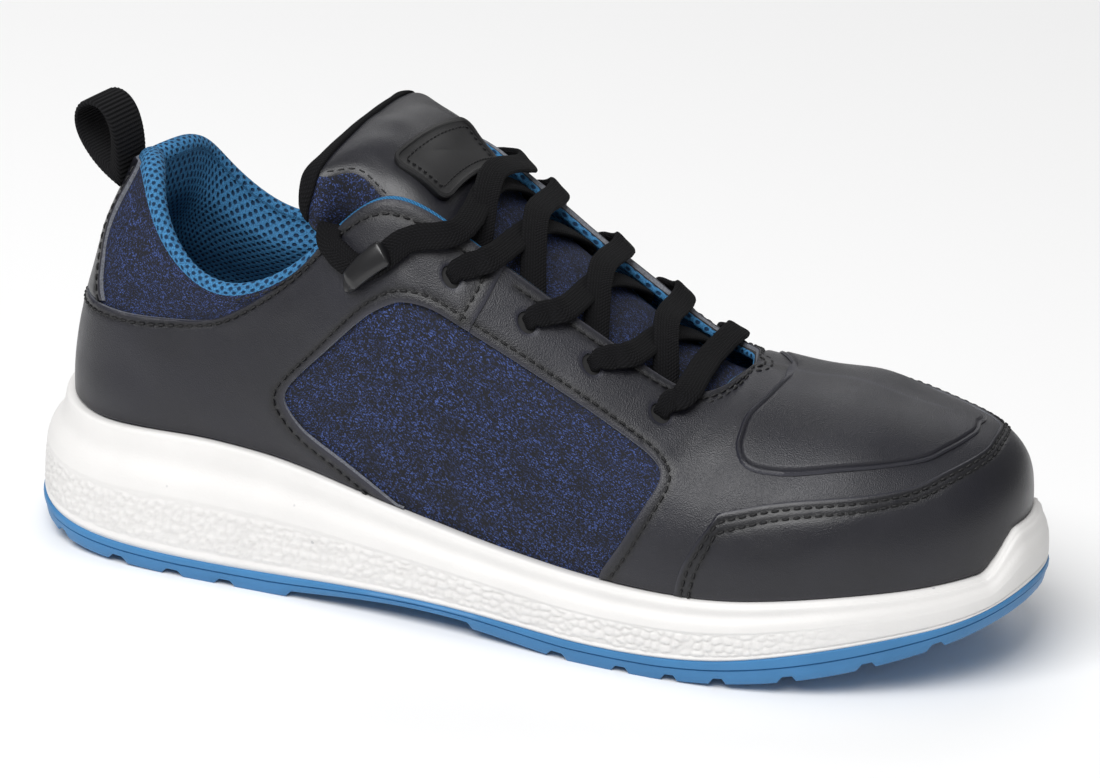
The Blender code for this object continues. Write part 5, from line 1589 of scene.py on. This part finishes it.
def build_overlays():
    """The leather panels, with their seams, laps, punched holes and stitches."""
    top = on_skin(0.0)
    guard_top = on_skin(GUARD_PROUD)
    counter = catmull(COUNTER_TOP, PANEL_STEP)
    rear = catmull(PANEL_REAR, PANEL_STEP)
    seam = catmull(STAY_SEAM, PANEL_STEP)
    guard = guard_curve()
    rear_in = beside(rear, SEAM_IN)
    rear_in = rear_in[rear_in[:, 1] > 0.03]
    sides = []
    for curve in (beside(counter, -SEAM_IN), rear_in, beside(seam, SEAM_IN)):
        sides += lateral_and_medial(curve)
    edge_row = along_columns(*EDGE_ROW_SPAN, lambda s: 1 - EDGE_ROW / FLAT[1] + 0 * s)
    sides += lateral_and_medial(edge_row)
    lap = under_seam(seam)
    holes = [(s, EYELETS[3][1]) for s in (EYELETS[3][0], -EYELETS[3][0])]
    lower = -OVERLAY - PANEL_FOOT
    panel(
        "quarter_leather", quarter_outline(), lower, 0.0, [BLACK, EDGE], sides, "quarter",
        extra=lap, holes=holes,
    )
    for curve in sides:
        stitch_row(curve, top, extra=lap)
    front_in = beside(catmull(PANEL_FRONT, PANEL_STEP), SEAM_IN)
    throat, end = (throat_row(*row) for row in THROAT_ROWS)
    rows = [front_in, other_side(front_in), throat]
    holes = both_sides(EYELETS[:3])
    panel("vamp_leather", vamp_tucked(), lower, 0.0, [BLACK, EDGE], rows, "vamp", holes=holes)
    for curve in (*rows, end):
        stitch_row(curve, top)
    guard_rows = [beside(guard, away) for away in GUARD_ROWS]
    panel("toe_guard_leather", guard_outline(), lower, GUARD_PROUD, [SMOOTH, EDGE], guard_rows, "toe_guard")
    for curve in guard_rows:
        stitch_row(curve, guard_top)
    edge = plateau_rim()
    lines = [beside(edge, way * away) for away in PLATEAU_LINES for way in (-1, 1)]
    panel(
        "toe_plateau_leather", plateau_outline(), -PLATEAU_DEPTH, PLATEAU_PROUD, [BLACK, DARK_EDGE],
        [], "toe_plateau", edge=PLATEAU_EDGE_ROUND, extra=plateau_bead, lines=lines,
    )
    backstay = catmull(BACKSTAY_EDGE, PANEL_STEP)
    rows = lateral_and_medial(beside(backstay, BACKSTAY_ROW))
    panel("backstay_strip", backstay_outline(), lower, 0.0, [SMOOTH, EDGE], rows, "backstay")
    for curve in rows:
        stitch_row(curve, top)


def plateau_rim():
    edge = catmull(PLATEAU_EDGE, PANEL_STEP)
    return np.array([(edge[0, 0], 1.0), *edge, (edge[-1, 0], 1.0)])


def plateau_bead(spots):
    """The pressed groove that follows the raised panel's edge."""
    away = curve_distance(plateau_rim(), spots)
    groove = np.exp(-(((away - GROOVE_AT) / GROOVE_HALF) ** 2))
    return -GROOVE_DEPTH * groove + BEAD_RISE * smooth(GROOVE_AT, BEAD_TO, away) - BEAD_RISE


def rounded_sheet(points, faces, thick, angles):
    """A closed padded sheet: its two faces and a rolled rim."""
    normals = mesh_normals(points, faces)
    inner = points - normals * np.broadcast_to(thick, len(points))[:, None]
    count = len(points)
    solid = [list(face) for face in faces] + [[k + count for k in reversed(face)] for face in faces]
    extra, _, bands = rolled_rim(points, normals, points, inner, border(faces), angles)
    return np.concatenate([points, inner, extra]), solid + bands


TONGUE_FINE = 6
TONGUE_RIM = 0.0030
TONGUE_ANGLES = (20, 45, 70, 90, 110, 135, 160)
TONGUE_ACROSS = 5
TONGUE_LEATHER = 0.345
TONGUE_PAD_SPAN = (0.45, 0.8)
RIM_SHARE, TIP_FROM = 0.10, 0.93
TONGUE_PUFF, PUFF_SPAN = 0.0007, (0.55, 0.75)
TONGUE_WAVES = (0.018, 0.0002, 9)
LEATHER_FROM, STITCH_FROM = 6.4, 6.5
LEATHER_STITCH = 0.03
BADGE_TURN = -6.0
BADGE_LOWER = 0.0024
BADGE_STEP = 0.0015
BADGE_SUNK = 0.0006
BADGE_ROW = 0.0034
BADGE_STITCH = {"length": 0.0012, "pitch": 0.0020, "radius": 0.00022}
# The label's rim: how far in from its edge and how far under its top
BADGE_RIM = ((0, 0.0004), (0.0003, 0), (0.0011, 0), (0.0014, 0.0005), (0.0020, BADGE_SUNK))
# The binding's section: back from the tongue's end and up
BINDING = (
    (-0.0042, 0.0006), (-0.0040, 0.0015), (-0.0016, 0.0020), (0.0008, 0.0017), (0.0026, 0.0003),
    (0.0031, -0.0016), (0.0026, -0.0034), (0.0010, -0.0046), (-0.0012, -0.0050), (-0.0040, -0.0048),
)


SMOOTH_TONGUE = refine(refine(TONGUE, TONGUE_FINE).transpose(1, 0, 2), TONGUE_ACROSS).transpose(1, 0, 2)
SMOOTH_RUN = run_along(SMOOTH_TONGUE[:, SMOOTH_TONGUE.shape[1] // 2])
SMOOTH_RUN *= CROWN_RUN[-1] / SMOOTH_RUN[-1]
SMOOTH_WIDTHS = np.linalg.norm(np.diff(SMOOTH_TONGUE, axis=1), axis=2).sum(1)


def tongue_face(across, along):
    """A point of the tongue's smooth face from its lengths across and along the crown."""
    across, along = np.asarray(across, float), np.asarray(along, float)
    rows, columns = SMOOTH_TONGUE.shape[:2]
    p = np.clip(np.interp(along, SMOOTH_RUN, np.arange(rows)), 0, rows - 1.001)
    share = 0.5 + across / np.interp(p, np.arange(rows), SMOOTH_WIDTHS)
    q = np.clip(share, 0, 1) * (columns - 1.001)
    i, j = np.floor(p).astype(int), np.floor(q).astype(int)
    f, g = (p - i)[..., None], (q - j)[..., None]
    low = SMOOTH_TONGUE[i, j] * (1 - g) + SMOOTH_TONGUE[i, j + 1] * g
    return low * (1 - f) + (SMOOTH_TONGUE[i + 1, j] * (1 - g) + SMOOTH_TONGUE[i + 1, j + 1] * g) * f


def build_tongue():
    """The padded tongue: leather over its free end, textile beside it and mesh inside."""
    fine = SMOOTH_TONGUE
    count, width = fine.shape[:2]
    points = fine.reshape(-1, 3)
    faces = strip_faces(count, width, closed=False)
    along = np.repeat(np.arange(count) / (count - 1), width)
    thick = TONGUE_THICK + (TONGUE_PAD - TONGUE_THICK) * smooth(*TONGUE_PAD_SPAN, along)
    q = np.tile(np.arange(width) / (width - 1), count)
    sides = smooth(0.0, RIM_SHARE, q) * smooth(1.0, 1 - RIM_SHARE, q)
    rounding = np.minimum(sides, smooth(1.0, TIP_FROM, along))
    thick = np.minimum(thick, TONGUE_RIM + (thick - TONGUE_RIM) * rounding)
    puff = TONGUE_PUFF * smooth(*PUFF_SPAN, along) * np.sin(np.pi * q) ** 0.5
    normals = mesh_normals(points, faces)
    points = points + normals * (puff + waves(points, *TONGUE_WAVES))[:, None]
    solid, all_faces = rounded_sheet(points, faces, thick + puff, TONGUE_ANGLES)
    row_index = np.array([face[0] // width for face in faces]) / TONGUE_FINE
    share = np.array([(face[0] % width) / width for face in faces])
    leather_top = (row_index > LEATHER_FROM) & (np.abs(share - 0.5) < TONGUE_LEATHER)
    kind = np.where(leather_top, 1, 0)
    which = np.concatenate([kind, np.full(len(faces), 2), np.full(len(all_faces) - 2 * len(faces), 1)])
    run = run_along(fine[:, width // 2])
    uv = np.stack([np.repeat(run, width), (q - 0.5) * np.repeat(SMOOTH_WIDTHS, width)], 1)
    uv = np.concatenate([uv, uv, solid[2 * len(points) :, :2]])
    marks = {"inset": np.ones(len(solid))}
    piece = make_piece("tongue_padded", solid, all_faces, [TEXTILE, SMOOTH, MESH], which, uv, marks)
    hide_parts("tongue")
    border_rows = np.arange(round(STITCH_FROM * TONGUE_FINE), count - 2)
    for side in (0.5 - TONGUE_LEATHER + LEATHER_STITCH, 0.5 + TONGUE_LEATHER - LEATHER_STITCH):
        column = round(side * (width - 1))
        face = points.reshape(count, width, 3)[border_rows, column]
        facing = normals.reshape(count, width, 3)[border_rows, column]
        if face[:, 1].mean() < points[:, 1].mean():
            stitch_row(face, lambda curve, up=facing: (curve, up), radius=0.00026, lift=-0.0001)
    build_binding(fine)
    build_badge()


def build_binding(fine):
    """The woven tape folded over the tongue's top end."""
    line = fine[-1]
    back = unit(fine[-1] - fine[-4])
    across = unit(np.gradient(line, axis=0))
    up = unit(np.cross(back, across))
    up = np.where(up[:, 2:] < 0, -up, up)
    rings = refine([line + back * a + up * b for a, b in BINDING], 3)
    count = len(line)
    faces = strip_faces(len(rings), count, closed=False)
    run = run_along(line)
    uv = np.stack([np.tile(run, len(rings)), np.repeat(np.linspace(0, 0.02, len(rings)), count)], 1)
    make_piece("tongue_binding", rings.reshape(-1, 3), faces, WOVEN, uv=uv)


def build_badge():
    """A bare moulded label with a raised rim, seated on the tongue."""
    half = np.array([BADGE_WIDTH, BADGE_LENGTH]) / 2
    centre = np.array([0.0, CROWN_RUN[-1] - BADGE_FROM_TIP - BADGE_LOWER])

    def ring(inset):
        corner = BADGE_CORNER - inset
        found = []
        for turn, sides in enumerate(((1, 1), (-1, 1), (-1, -1), (1, -1))):
            at = (half - BADGE_CORNER) * sides
            for angle in np.radians(np.arange(0, 91, 10) + 90 * turn):
                found.append(at + max(corner, 0.0004) * np.array([math.cos(angle), math.sin(angle)]))
        found = np.array(found)
        dense = []
        for a, b in zip(found, np.roll(found, -1, 0)):
            parts = max(1, round(float(np.linalg.norm(b - a)) / BADGE_STEP))
            dense += [a + (b - a) * t for t in np.arange(parts) / parts]
        turn = math.radians(BADGE_TURN)
        matrix = np.array([[math.cos(turn), math.sin(turn)], [-math.sin(turn), math.cos(turn)]])
        return np.array(dense) @ matrix + centre

    def lifted(spots, height):
        points = tongue_face(spots[:, 0], spots[:, 1])
        step = BADGE_STEP
        a = tongue_face(spots[:, 0] + step, spots[:, 1]) - tongue_face(spots[:, 0] - step, spots[:, 1])
        b = tongue_face(spots[:, 0], spots[:, 1] + step) - tongue_face(spots[:, 0], spots[:, 1] - step)
        normal = unit(np.cross(a, b))
        normal = np.where(normal[:, 2:] < 0, -normal, normal)
        return points + normal * height

    base, top = FACET_GAP, FACET_GAP + GAP + BADGE_THICK
    rings = [lifted(ring(0), base)]
    rings += [lifted(ring(inset), top - down) for inset, down in BADGE_RIM]
    inner = ring(BADGE_RIM[-1][0])
    for scale in (0.75, 0.5, 0.25, 0.02):
        rings.append(lifted(centre + (inner - centre) * (scale, scale), top - BADGE_SUNK))
    count = len(inner)
    faces = strip_faces(len(rings), count)
    faces.append([(len(rings) - 1) * count + k for k in range(count)])
    piece = make_piece("tongue_label", np.concatenate(rings), faces, LABEL, sharp=40)
    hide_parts("tongue_badge")
    row = ring(BADGE_ROW)

    def surface(spots):
        return lifted(spots, top - BADGE_SUNK), unit(lifted(spots, top) - lifted(spots, 0.0))

    stitch_row(np.concatenate([row, row[:1]]), surface, **BADGE_STITCH)


EYELET_ROWS = (*EYELETS, KEEPER)
OVER_EDGES = (0.40, 0.42, 0.42, 0.95)
UNDER_EDGES = (0.0, 0.0, 0.0, 0.22)
UNDER_END = 0.97
EYELET_DIP = 0.0036
HOLE_WIDTHS = (0.50, 0.62)
HOLE_RISE = 0.0004
THROAT_SIDE = 0.995
RIM_SECTION = 4.28
AFTER_RIM = (4.46, 0.92)
LACE_STEPS = 9
LACE_PUFF = 1.30
LACE_SLIM = 0.92
RIM_STOPS = 3
KEEPER_SHARE = 0.70
KEEPER_TURNED = np.array([0.777, 0.629])


def crown_over(s):
    """The middle of the tongue's face at a section of the throat."""
    return tongue_face(0.0, np.interp(s, TONGUE_ROWS[::-1], CROWN_RUN[len(TONGUE_ROWS) - 1 :: -1]))


def on_side(s, side):
    """The same section on the lateral side, -1, or the medial side, 1."""
    return s if side < 0 else LOOP - s


def tree_of(*names):
    """A search tree over the faces of some finished pieces."""
    points, faces = [], []
    for name in names:
        mesh = bpy.data.objects[name].data
        first = len(points)
        points += [vertex.co.copy() for vertex in mesh.vertices]
        faces += [[first + k for k in face.vertices] for face in mesh.polygons]
    return BVHTree.FromPolygons(points, faces)


def settled(path, normals, widths, beds, free=0):
    """The lace path raised wherever it would sink into a bed: (tree, clearance, reach test)."""
    path = np.array(path)
    across = unit(np.cross(unit(np.gradient(path, axis=0)), unit(np.asarray(normals))))
    lifts = np.zeros(len(path))
    for k, point in enumerate(path):
        if widths[k] < 0.8 or k < free:
            continue
        for tree, clearance, reaches in beds:
            if not reaches(point):
                continue
            for share in (-1.0, -0.5, 0.0, 0.5, 1.0):
                spot = point + across[k] * share * LACE_WIDTH / 2 - MIDDLE
                hit, normal, _, _ = tree.ray_cast(Vector(spot + UP * DROP), Vector(-UP))
                if hit is not None:
                    rest = hit.z + (clearance + LACE_THICK / 2) / max(normal.z, 0.5)
                    lifts[k] = max(lifts[k], rest - spot[2])
    spaced = np.pad(lifts, 3, mode="edge")
    eased = np.max([spaced[k : k + len(lifts)] for k in range(7)], 0)
    for _ in range(8):
        eased[1:-1] = (eased[:-2] + 2 * eased[1:-1] + eased[2:]) / 4
    path[:, 2] += np.maximum(eased, lifts)
    return path


def smooth_path(stops):
    """A fine path through stops of (point, normal, width share)."""
    p = np.array([stop[0] for stop in stops])
    p = np.concatenate([[2 * p[0] - p[1]], p, [2 * p[-1] - p[-2]]])
    path, ups, widths = [], [], []
    for k, (a, b, c, d) in enumerate(zip(p, p[1:], p[2:], p[3:])):
        for t in np.arange(LACE_STEPS) / LACE_STEPS:
            path.append(catmull_point(a, b, c, d, t))
            ups.append(stops[k][1] * (1 - t) + stops[k + 1][1] * t)
            widths.append(stops[k][2] + (stops[k + 1][2] - stops[k][2]) * smooth(0, 1, t))
    ups.append(stops[-1][1])
    widths.append(stops[-1][2])
    return np.array(path + [p[-2]]), np.array(ups), np.array(widths)


def tube_piece(name, rings, uv, finish, turned=False):
    """A closed tube through rings given point by point round its section."""
    rings, uv = np.array(rings).transpose(1, 0, 2), np.array(uv).transpose(1, 0, 2)
    count = rings.shape[1]
    points = rings.reshape(-1, 3)
    faces = strip_faces(len(rings), count)
    faces.append(list(range(count))[::-1])
    faces.append([len(points) - count + k for k in range(count)])
    if turned:
        faces = [face[::-1] for face in faces]
    return make_piece(name, points, faces, finish, uv=uv.reshape(-1, 2))


def lace_piece(name, path, normals, widths):
    """A flat tubular lace: domed faces, rounded edges, a weave that runs along it."""
    along = unit(np.gradient(path, axis=0))
    across = unit(np.cross(along, unit(normals)))
    normals = np.cross(across, along)
    half, thick = LACE_SLIM * LACE_WIDTH / 2, LACE_PUFF * LACE_THICK / 2
    turns = np.radians(np.arange(0, 360, 18))
    wide = np.sign(np.cos(turns)) * np.abs(np.cos(turns)) ** 0.55
    high = np.sign(np.sin(turns)) * np.abs(np.sin(turns)) ** 0.75
    high = high * (1 - 0.16 * np.cos(wide * np.pi / 2) ** 2)
    run = run_along(path)
    ripple = 1 + 0.02 * np.sin(run * 900) + 0.015 * np.sin(run * 410 + 1)
    bulk = 1 + 0.7 * (1 - widths)
    rings, uv = [], []
    for a, b in zip(wide, high):
        sideways, upward = a * half * widths * ripple, b * thick * bulk
        rings.append(path + across * sideways[:, None] + normals * upward[:, None])
        uv.append(np.stack([run, np.full(len(run), a * half)], 1))
    return tube_piece(name, rings, uv, WOVEN)


def stop_at(s, v, side, height, width=1.0):
    """A stop of a lace at a height over the leather, on the lateral, -1, or medial side, 1."""
    at = on_side(s, side)
    return off_skin(at, v, height), skin_normal(at, v), width


def eyelet_stops(s, v, side, ahead):
    """The two stops where a lace goes down into an eyelet."""
    return [
        stop_at(s, v, side, -EYELET_DIP, HOLE_WIDTHS[0]),
        stop_at(s + ahead, v + 0.01, side, HOLE_RISE, HOLE_WIDTHS[1]),
    ]


def rim_stops(side):
    """The stops that lead a lace's end over the collar and down inside it."""
    edge = on_side(RIM_SECTION, side)
    out = skin_normal(edge, 0.98)
    rim = skin(edge, np.array(1.0))
    inward = -out * (1, 1, 0)
    return [
        (rim + inward * 0.0090 - UP * 0.0130, -out, 1.0),
        (rim + inward * 0.0070 - UP * 0.0030, unit(UP - out), 1.0),
        (rim + inward * 0.0024 + UP * 0.0030, unit(UP * 2 - out * 0.2), 1.0),
    ]


def lace_stops(row, side):
    """One lace of a crossing: over the near eyestay, across the tongue and under the far one."""
    rear, front = EYELET_ROWS[row + 1], EYELET_ROWS[row]
    span = front[0] - rear[0]
    over, under = GAP + LACE_THICK / 2, -(recess() + WALL + 2 * FACET_GAP + LACE_THICK / 2)
    near_edge = rear[0] + OVER_EDGES[row] * span
    far_edge = front[0] + UNDER_EDGES[row] * span
    if rear is KEEPER:
        stops = rim_stops(side)
        stops += [stop_at(s, v, side, over + FACET_GAP) for s, v in (AFTER_RIM, rear)]
    else:
        toward = 0.18 * OVER_EDGES[row] * span
        stops = eyelet_stops(*rear, side, 0.02)
        stops.append(stop_at(rear[0] + toward, rear[1] + 0.22 * (1 - rear[1]), side, over + HOLE_RISE, 0.86))
    stops.append(stop_at((rear[0] + near_edge) / 2, (rear[1] + 1) / 2, side, over + FACET_GAP))
    stops.append(stop_at(near_edge, THROAT_SIDE, side, over + GAP + FACET_GAP))
    centre = crown_over((far_edge + near_edge) / 2) + UP * (GAP + FACET_GAP + LACE_THICK / 2)
    stops.append((centre, UP + np.array([0.4, 0.0, 0.0]), 1.0))
    stops.append(stop_at(far_edge, THROAT_SIDE, -side, under))
    stops.append(stop_at((front[0] + far_edge) / 2, UNDER_END, -side, under))
    return stops


def bar_stops():
    """The straight lace between the two front eyelets."""
    over = GAP + LACE_THICK / 2
    front, v = EYELETS[0]
    halves = []
    for side in (-1, 1):
        half = eyelet_stops(front, v, side, 0.01)
        half.append(stop_at(front + 0.07, 0.90, side, over + HOLE_RISE, 0.9))
        half.append(stop_at(front + 0.22, 0.97, side, over + FACET_GAP))
        halves.append(half)
    centre = crown_over(front + 0.30) + UP * (over + 2 * FACET_GAP + LACE_THICK)
    return [*halves[0], (centre, UP + np.array([0.3, 0, 0]), 1.0), *halves[1][::-1]]


def build_laces():
    """The bar and the four crossings, laid on the leather, the tongue and each other."""
    leathers = tree_of("upper_shell", "vamp_leather", "quarter_leather")
    tongue = tree_of("tongue_padded")
    path, normals, widths = smooth_path(bar_stops())
    everywhere = [(tree, GAP, lambda point: True) for tree in (leathers, tongue)]
    path = settled(path, normals, widths, everywhere)
    piece = lace_piece("lace_bar_woven", path, normals, widths)
    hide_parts("lace_bar")
    middle = (tongue, GAP, lambda point: abs(point[1]) < THROAT_REACH)
    for row in range(len(EYELETS)):
        free = RIM_STOPS * LACE_STEPS if row == len(EYELETS) - 1 else 0
        beds = [middle, (leathers, GAP, lambda point: point[1] < 0)]
        path, normals, widths = smooth_path(lace_stops(row, -1))
        path = settled(path, normals, widths, beds, free)
        lower = lace_piece(f"lace_{row + 1}_lateral", path, normals, widths)
        beds = [middle, (leathers, GAP, lambda point: point[1] > 0)]
        beds.append((tree_of(lower.name), -GAP, lambda point: abs(point[1]) < CROSS_REACH))
        path, normals, widths = smooth_path(lace_stops(row, 1))
        path = settled(path, normals, widths, beds, free)
        piece = lace_piece(f"lace_{row + 1}_medial", path, normals, widths)
        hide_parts(f"lace_crossing_{row + 1}")


# A keeper's section: shares of its half width and of its thickness
KEEPER_SECTION = (
    (-1, -0.96, -0.88, -0.78, -0.72, -0.5, -0.2, 0, 0.2, 0.5, 0.72, 0.78, 0.88, 0.96, 1),
    (0, 0.35, 0.62, 0.78, 0.86, 0.98, 1.06, 1.1, 1.06, 0.98, 0.86, 0.78, 0.62, 0.35, 0),
)


def keeper_spot(t, w, half, side):
    shift = KEEPER_TURNED * t * KEEPER_SHARE * KEEPER_LENGTH / 2
    shift = shift + KEEPER_TURNED[::-1] * (1, -1) * w * half
    s, v = np.array(KEEPER) + shift / FLAT
    return on_side(s, side), v


def build_keepers():
    """Moulded drop-shaped bridges over the top of the lace."""
    steps = np.sin(np.linspace(-np.pi / 2, np.pi / 2, 41))
    across, rise = (np.array(values) for values in KEEPER_SECTION)
    for name, side in (("lateral", -1), ("medial", 1)):
        tops, lows = [], []
        for t in steps:
            arch = smooth(-0.95, -0.45, t) * (1 - smooth(0.85, 1.0, t) * 0.5)
            low = 2 * GAP + arch * (FACET_GAP + LACE_THICK + 2 * GAP)
            low_end = 0.45 if t < 0 else 0.80
            round_end = math.sqrt(max(1 - max(0.0, (abs(t) - low_end) / (1 - low_end)) ** 2, 0.0))
            narrow = 1 - (0.10 if t < 0 else 0.06) * t * t
            half = 0.8 * KEEPER_WIDTH / 2 * narrow * max(round_end, 0.10)
            top, bottom = [], []
            for w, share in zip(across, rise):
                s, v = keeper_spot(t, w, half, side)
                top.append(off_skin(s, v, low + KEEPER_THICK * share * (0.35 + 0.65 * round_end)))
                bottom.append(off_skin(s, v, low))
            tops.append(top if side < 0 else top[::-1])
            lows.append(bottom if side < 0 else bottom[::-1])
        width = len(across)
        points = np.concatenate([np.array(tops).reshape(-1, 3), np.array(lows).reshape(-1, 3)])
        total = len(steps) * width
        faces = strip_faces(len(steps), width, closed=False)
        upper = [face[::-1] for face in faces]
        lower = [[k + total for k in face] for face in faces]
        sides = [[a, b, b + total, a + total] for a, b in border(upper)]
        piece = make_piece(f"keeper_{name}_tab", points, upper + lower + [f[::-1] for f in sides], GLOSS)
        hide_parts(f"lace_keeper_{name}")


LOOP_TURN = 10.5
LOOP_BACK = 18.8
LOOP_MOVED = (0.0031, 0.0, -0.0038)
LOOP_SLIM = 1.07
LOOP_TALL = 0.94
LOOP_BROAD = 1.06
LOOP_OPEN = 14
RIB_PITCH, RIB_HEIGHT = 0.0013, 0.00012
BAND_TOP = (
    (-1, 0.0), (-0.99, 0.55), (-0.93, 0.95), (-0.5, 1.0), (0, 1.0),
    (0.5, 1.0), (0.93, 0.95), (0.99, 0.55), (1, 0.0),
)


def build_pull_loop():
    """A ribbed band folded into a drop, its foot at the top of the heel."""
    lean = math.radians(LOOP_LEAN + LOOP_BACK)
    base = off_skin(0.0, LOOP_FOOT, GAP + FACET_GAP + LOOP_BAND) + np.array(LOOP_MOVED)
    turns = np.radians(np.linspace(LOOP_OPEN, 360 - LOOP_OPEN, 260))

    def drop(height, span, lift):
        x = span / 2 * LOOP_SLIM * np.sin(turns) * np.sin(turns / 2)
        z = lift + height * (1 - np.cos(turns)) / 2
        flat, rise = math.cos(lean), math.sin(lean)
        return np.stack([x * flat - z * rise, z * flat + x * rise], 1)

    outer = drop(LOOP_TALL * LOOP_HEIGHT, LOOP_SPAN, 0.0)
    inner = drop(LOOP_TALL * LOOP_HEIGHT - LOOP_STEM - LOOP_BAND, LOOP_SPAN - 2 * LOOP_BAND, LOOP_STEM)
    outward_ = unit(outer - inner)
    run = run_along(outer)
    ribs = RIB_HEIGHT * np.cos(run * 2 * np.pi / RIB_PITCH)
    shape = [*BAND_TOP, *((w, -h) for w, h in BAND_TOP[-2:0:-1])]
    rings, uv = [], []
    for w, h in shape:
        middle, half = (outer + inner) / 2, (outer - inner) / 2
        spot = middle + half * h + outward_ * (ribs * np.sign(h) * (abs(h) > 0.9))[:, None]
        y = np.full(len(spot), w * LOOP_WIDTH / 2 * LOOP_BROAD)
        turn = math.radians(LOOP_TURN) * smooth(-0.004, 0.010, spot[:, 1])
        x = spot[:, 0] * np.cos(turn) + y * np.sin(turn)
        far = -spot[:, 0] * np.sin(turn) + y * np.cos(turn)
        rings.append(np.stack([base[0] + x, far, base[2] + spot[:, 1]], 1))
        uv.append(np.stack([run, y], 1))
    piece = tube_piece("pull_loop_band", rings, uv, GROSGRAIN, turned=True)
    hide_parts("pull_loop")


FLOOR_ANGLE = 20
FLOOR_WIDER = 1.1
FLOOR_RISE = 0.0003


def build_eyelets():
    """Painted shade in the punched holes: dark discs under them."""
    points, faces = [], []
    turns = np.radians(np.arange(0, 360, FLOOR_ANGLE))
    for side in (-1, 1):
        for s, v in EYELETS:
            at = on_side(s, side)
            normal = skin_normal(at, v)
            a = unit(np.cross(normal, UP))
            b = np.cross(normal, a)
            centre = off_skin(at, v, -OVERLAY + FLOOR_RISE)
            first = len(points)
            for turn in turns:
                around = a * math.cos(turn) + b * math.sin(turn)
                points.append(centre + around * (EYELET_HOLE * FLOOR_WIDER))
            ring = [first + k for k in range(len(turns))]
            faces.append(ring if np.dot(np.cross(a, b), normal) > 0 else ring[::-1])
    make_piece("eyelet_hole_shade_discs", np.array(points), faces, HOLE_SHADE)


def aimed(place, target):
    """A world matrix at a place, looking at a target."""
    place, target = Vector(place), Vector(target)
    turn = (target - place).to_track_quat("-Z", "Y").to_matrix().to_4x4()
    return Matrix.Translation(place) @ turn


def soft_light(name, place, target, size, power):
    lamp = bpy.data.lights.new(name, "AREA")
    lamp.shape = "RECTANGLE"
    lamp.size, lamp.size_y = size
    lamp.energy = power
    holder = bpy.data.objects.new(name, lamp)
    holder.matrix_world = aimed(place, target)
    bpy.context.collection.objects.link(holder)


CAMERA_TURN, CAMERA_PITCH, CAMERA_ROLL = 16.5586, 21.6273, 2.8118
CAMERA_SHIFT = (-0.003265, -0.008523)
CAMERA_DISTANCE = 1.501617
CAMERA_TARGET = np.array([0.150, 0.0, 0.050])
FOCAL_PIXELS = 5158.514
PICTURE_WIDTH = 1100
SENSOR_WIDTH = 36.0


def build_camera():
    """The photograph's camera, fitted to the sole's outline."""
    a, e, r = (math.radians(angle) for angle in (CAMERA_TURN, CAMERA_PITCH, CAMERA_ROLL))
    right = np.array([math.cos(a), math.sin(a), 0.0])
    back = np.array([math.sin(a) * math.cos(e), -math.cos(a) * math.cos(e), math.sin(e)])
    up = np.cross(back, right)
    x = right * math.cos(r) + up * math.sin(r)
    y = -right * math.sin(r) + up * math.cos(r)
    place = CAMERA_TARGET + back * CAMERA_DISTANCE - x * CAMERA_SHIFT[0] - y * CAMERA_SHIFT[1] - MIDDLE
    lens = bpy.data.cameras.new("camera")
    lens.sensor_width = SENSOR_WIDTH
    lens.lens = FOCAL_PIXELS / PICTURE_WIDTH * SENSOR_WIDTH
    lens.dof.use_dof = False
    holder = bpy.data.objects.new("camera", lens)
    holder.matrix_world = Matrix([[x[k], y[k], back[k], place[k]] for k in range(3)] + [[0, 0, 0, 1]])
    bpy.context.collection.objects.link(holder)
    bpy.context.scene.camera = holder


FLOOR_HALF = 3.0
FLOOR_COLOUR = (0.95, 0.95, 0.95, 1.0)
WORLD_COLOUR = (1.0, 1.0, 1.0, 1.0)
WORLD_STRENGTH = 0.262
# Soft lights: name, place, target, size and power
LIGHTS = (
    ("key", (-0.28, -1.24, 1.82), (0.0, 0.0, 0.05), (1.8, 1.4), 51.0),
    ("fill", (0.9, -0.75, 0.45), (0.05, 0.0, 0.05), (0.8, 0.6), 0.4),
    ("rear", (-0.4, 1.8, 1.6), (0.0, 0.0, 0.08), (2.0, 1.2), 12.0),
)


def build_stage():
    """A plain pale floor in soft studio light."""
    mesh = bpy.data.meshes.new("floor")
    corners = [(x * FLOOR_HALF, y * FLOOR_HALF, 0) for x, y in ((-1, -1), (1, -1), (1, 1), (-1, 1))]
    mesh.from_pydata(corners, [], [(0, 1, 2, 3)])
    paper, _, shader = material("floor_paper", 0.9)
    shader.inputs["Base Color"].default_value = FLOOR_COLOUR
    mesh.materials.append(paper)
    floor = bpy.data.objects.new("floor", mesh)
    bpy.context.collection.objects.link(floor)
    world = bpy.data.worlds.new("studio")
    world.use_nodes = True
    background = world.node_tree.nodes["Background"]
    background.inputs["Color"].default_value = WORLD_COLOUR
    background.inputs["Strength"].default_value = WORLD_STRENGTH
    bpy.context.scene.world = world
    for light in LIGHTS:
        soft_light(*light)
    bpy.context.scene.view_settings.view_transform = "Standard"


build_shell()
build_overlays()
build_outsole()
build_midsole()
build_insole()
build_tongue()
build_laces()
build_keepers()
build_pull_loop()
build_eyelets()
build_stitches("stitches", THREAD)
build_stage()
build_camera()
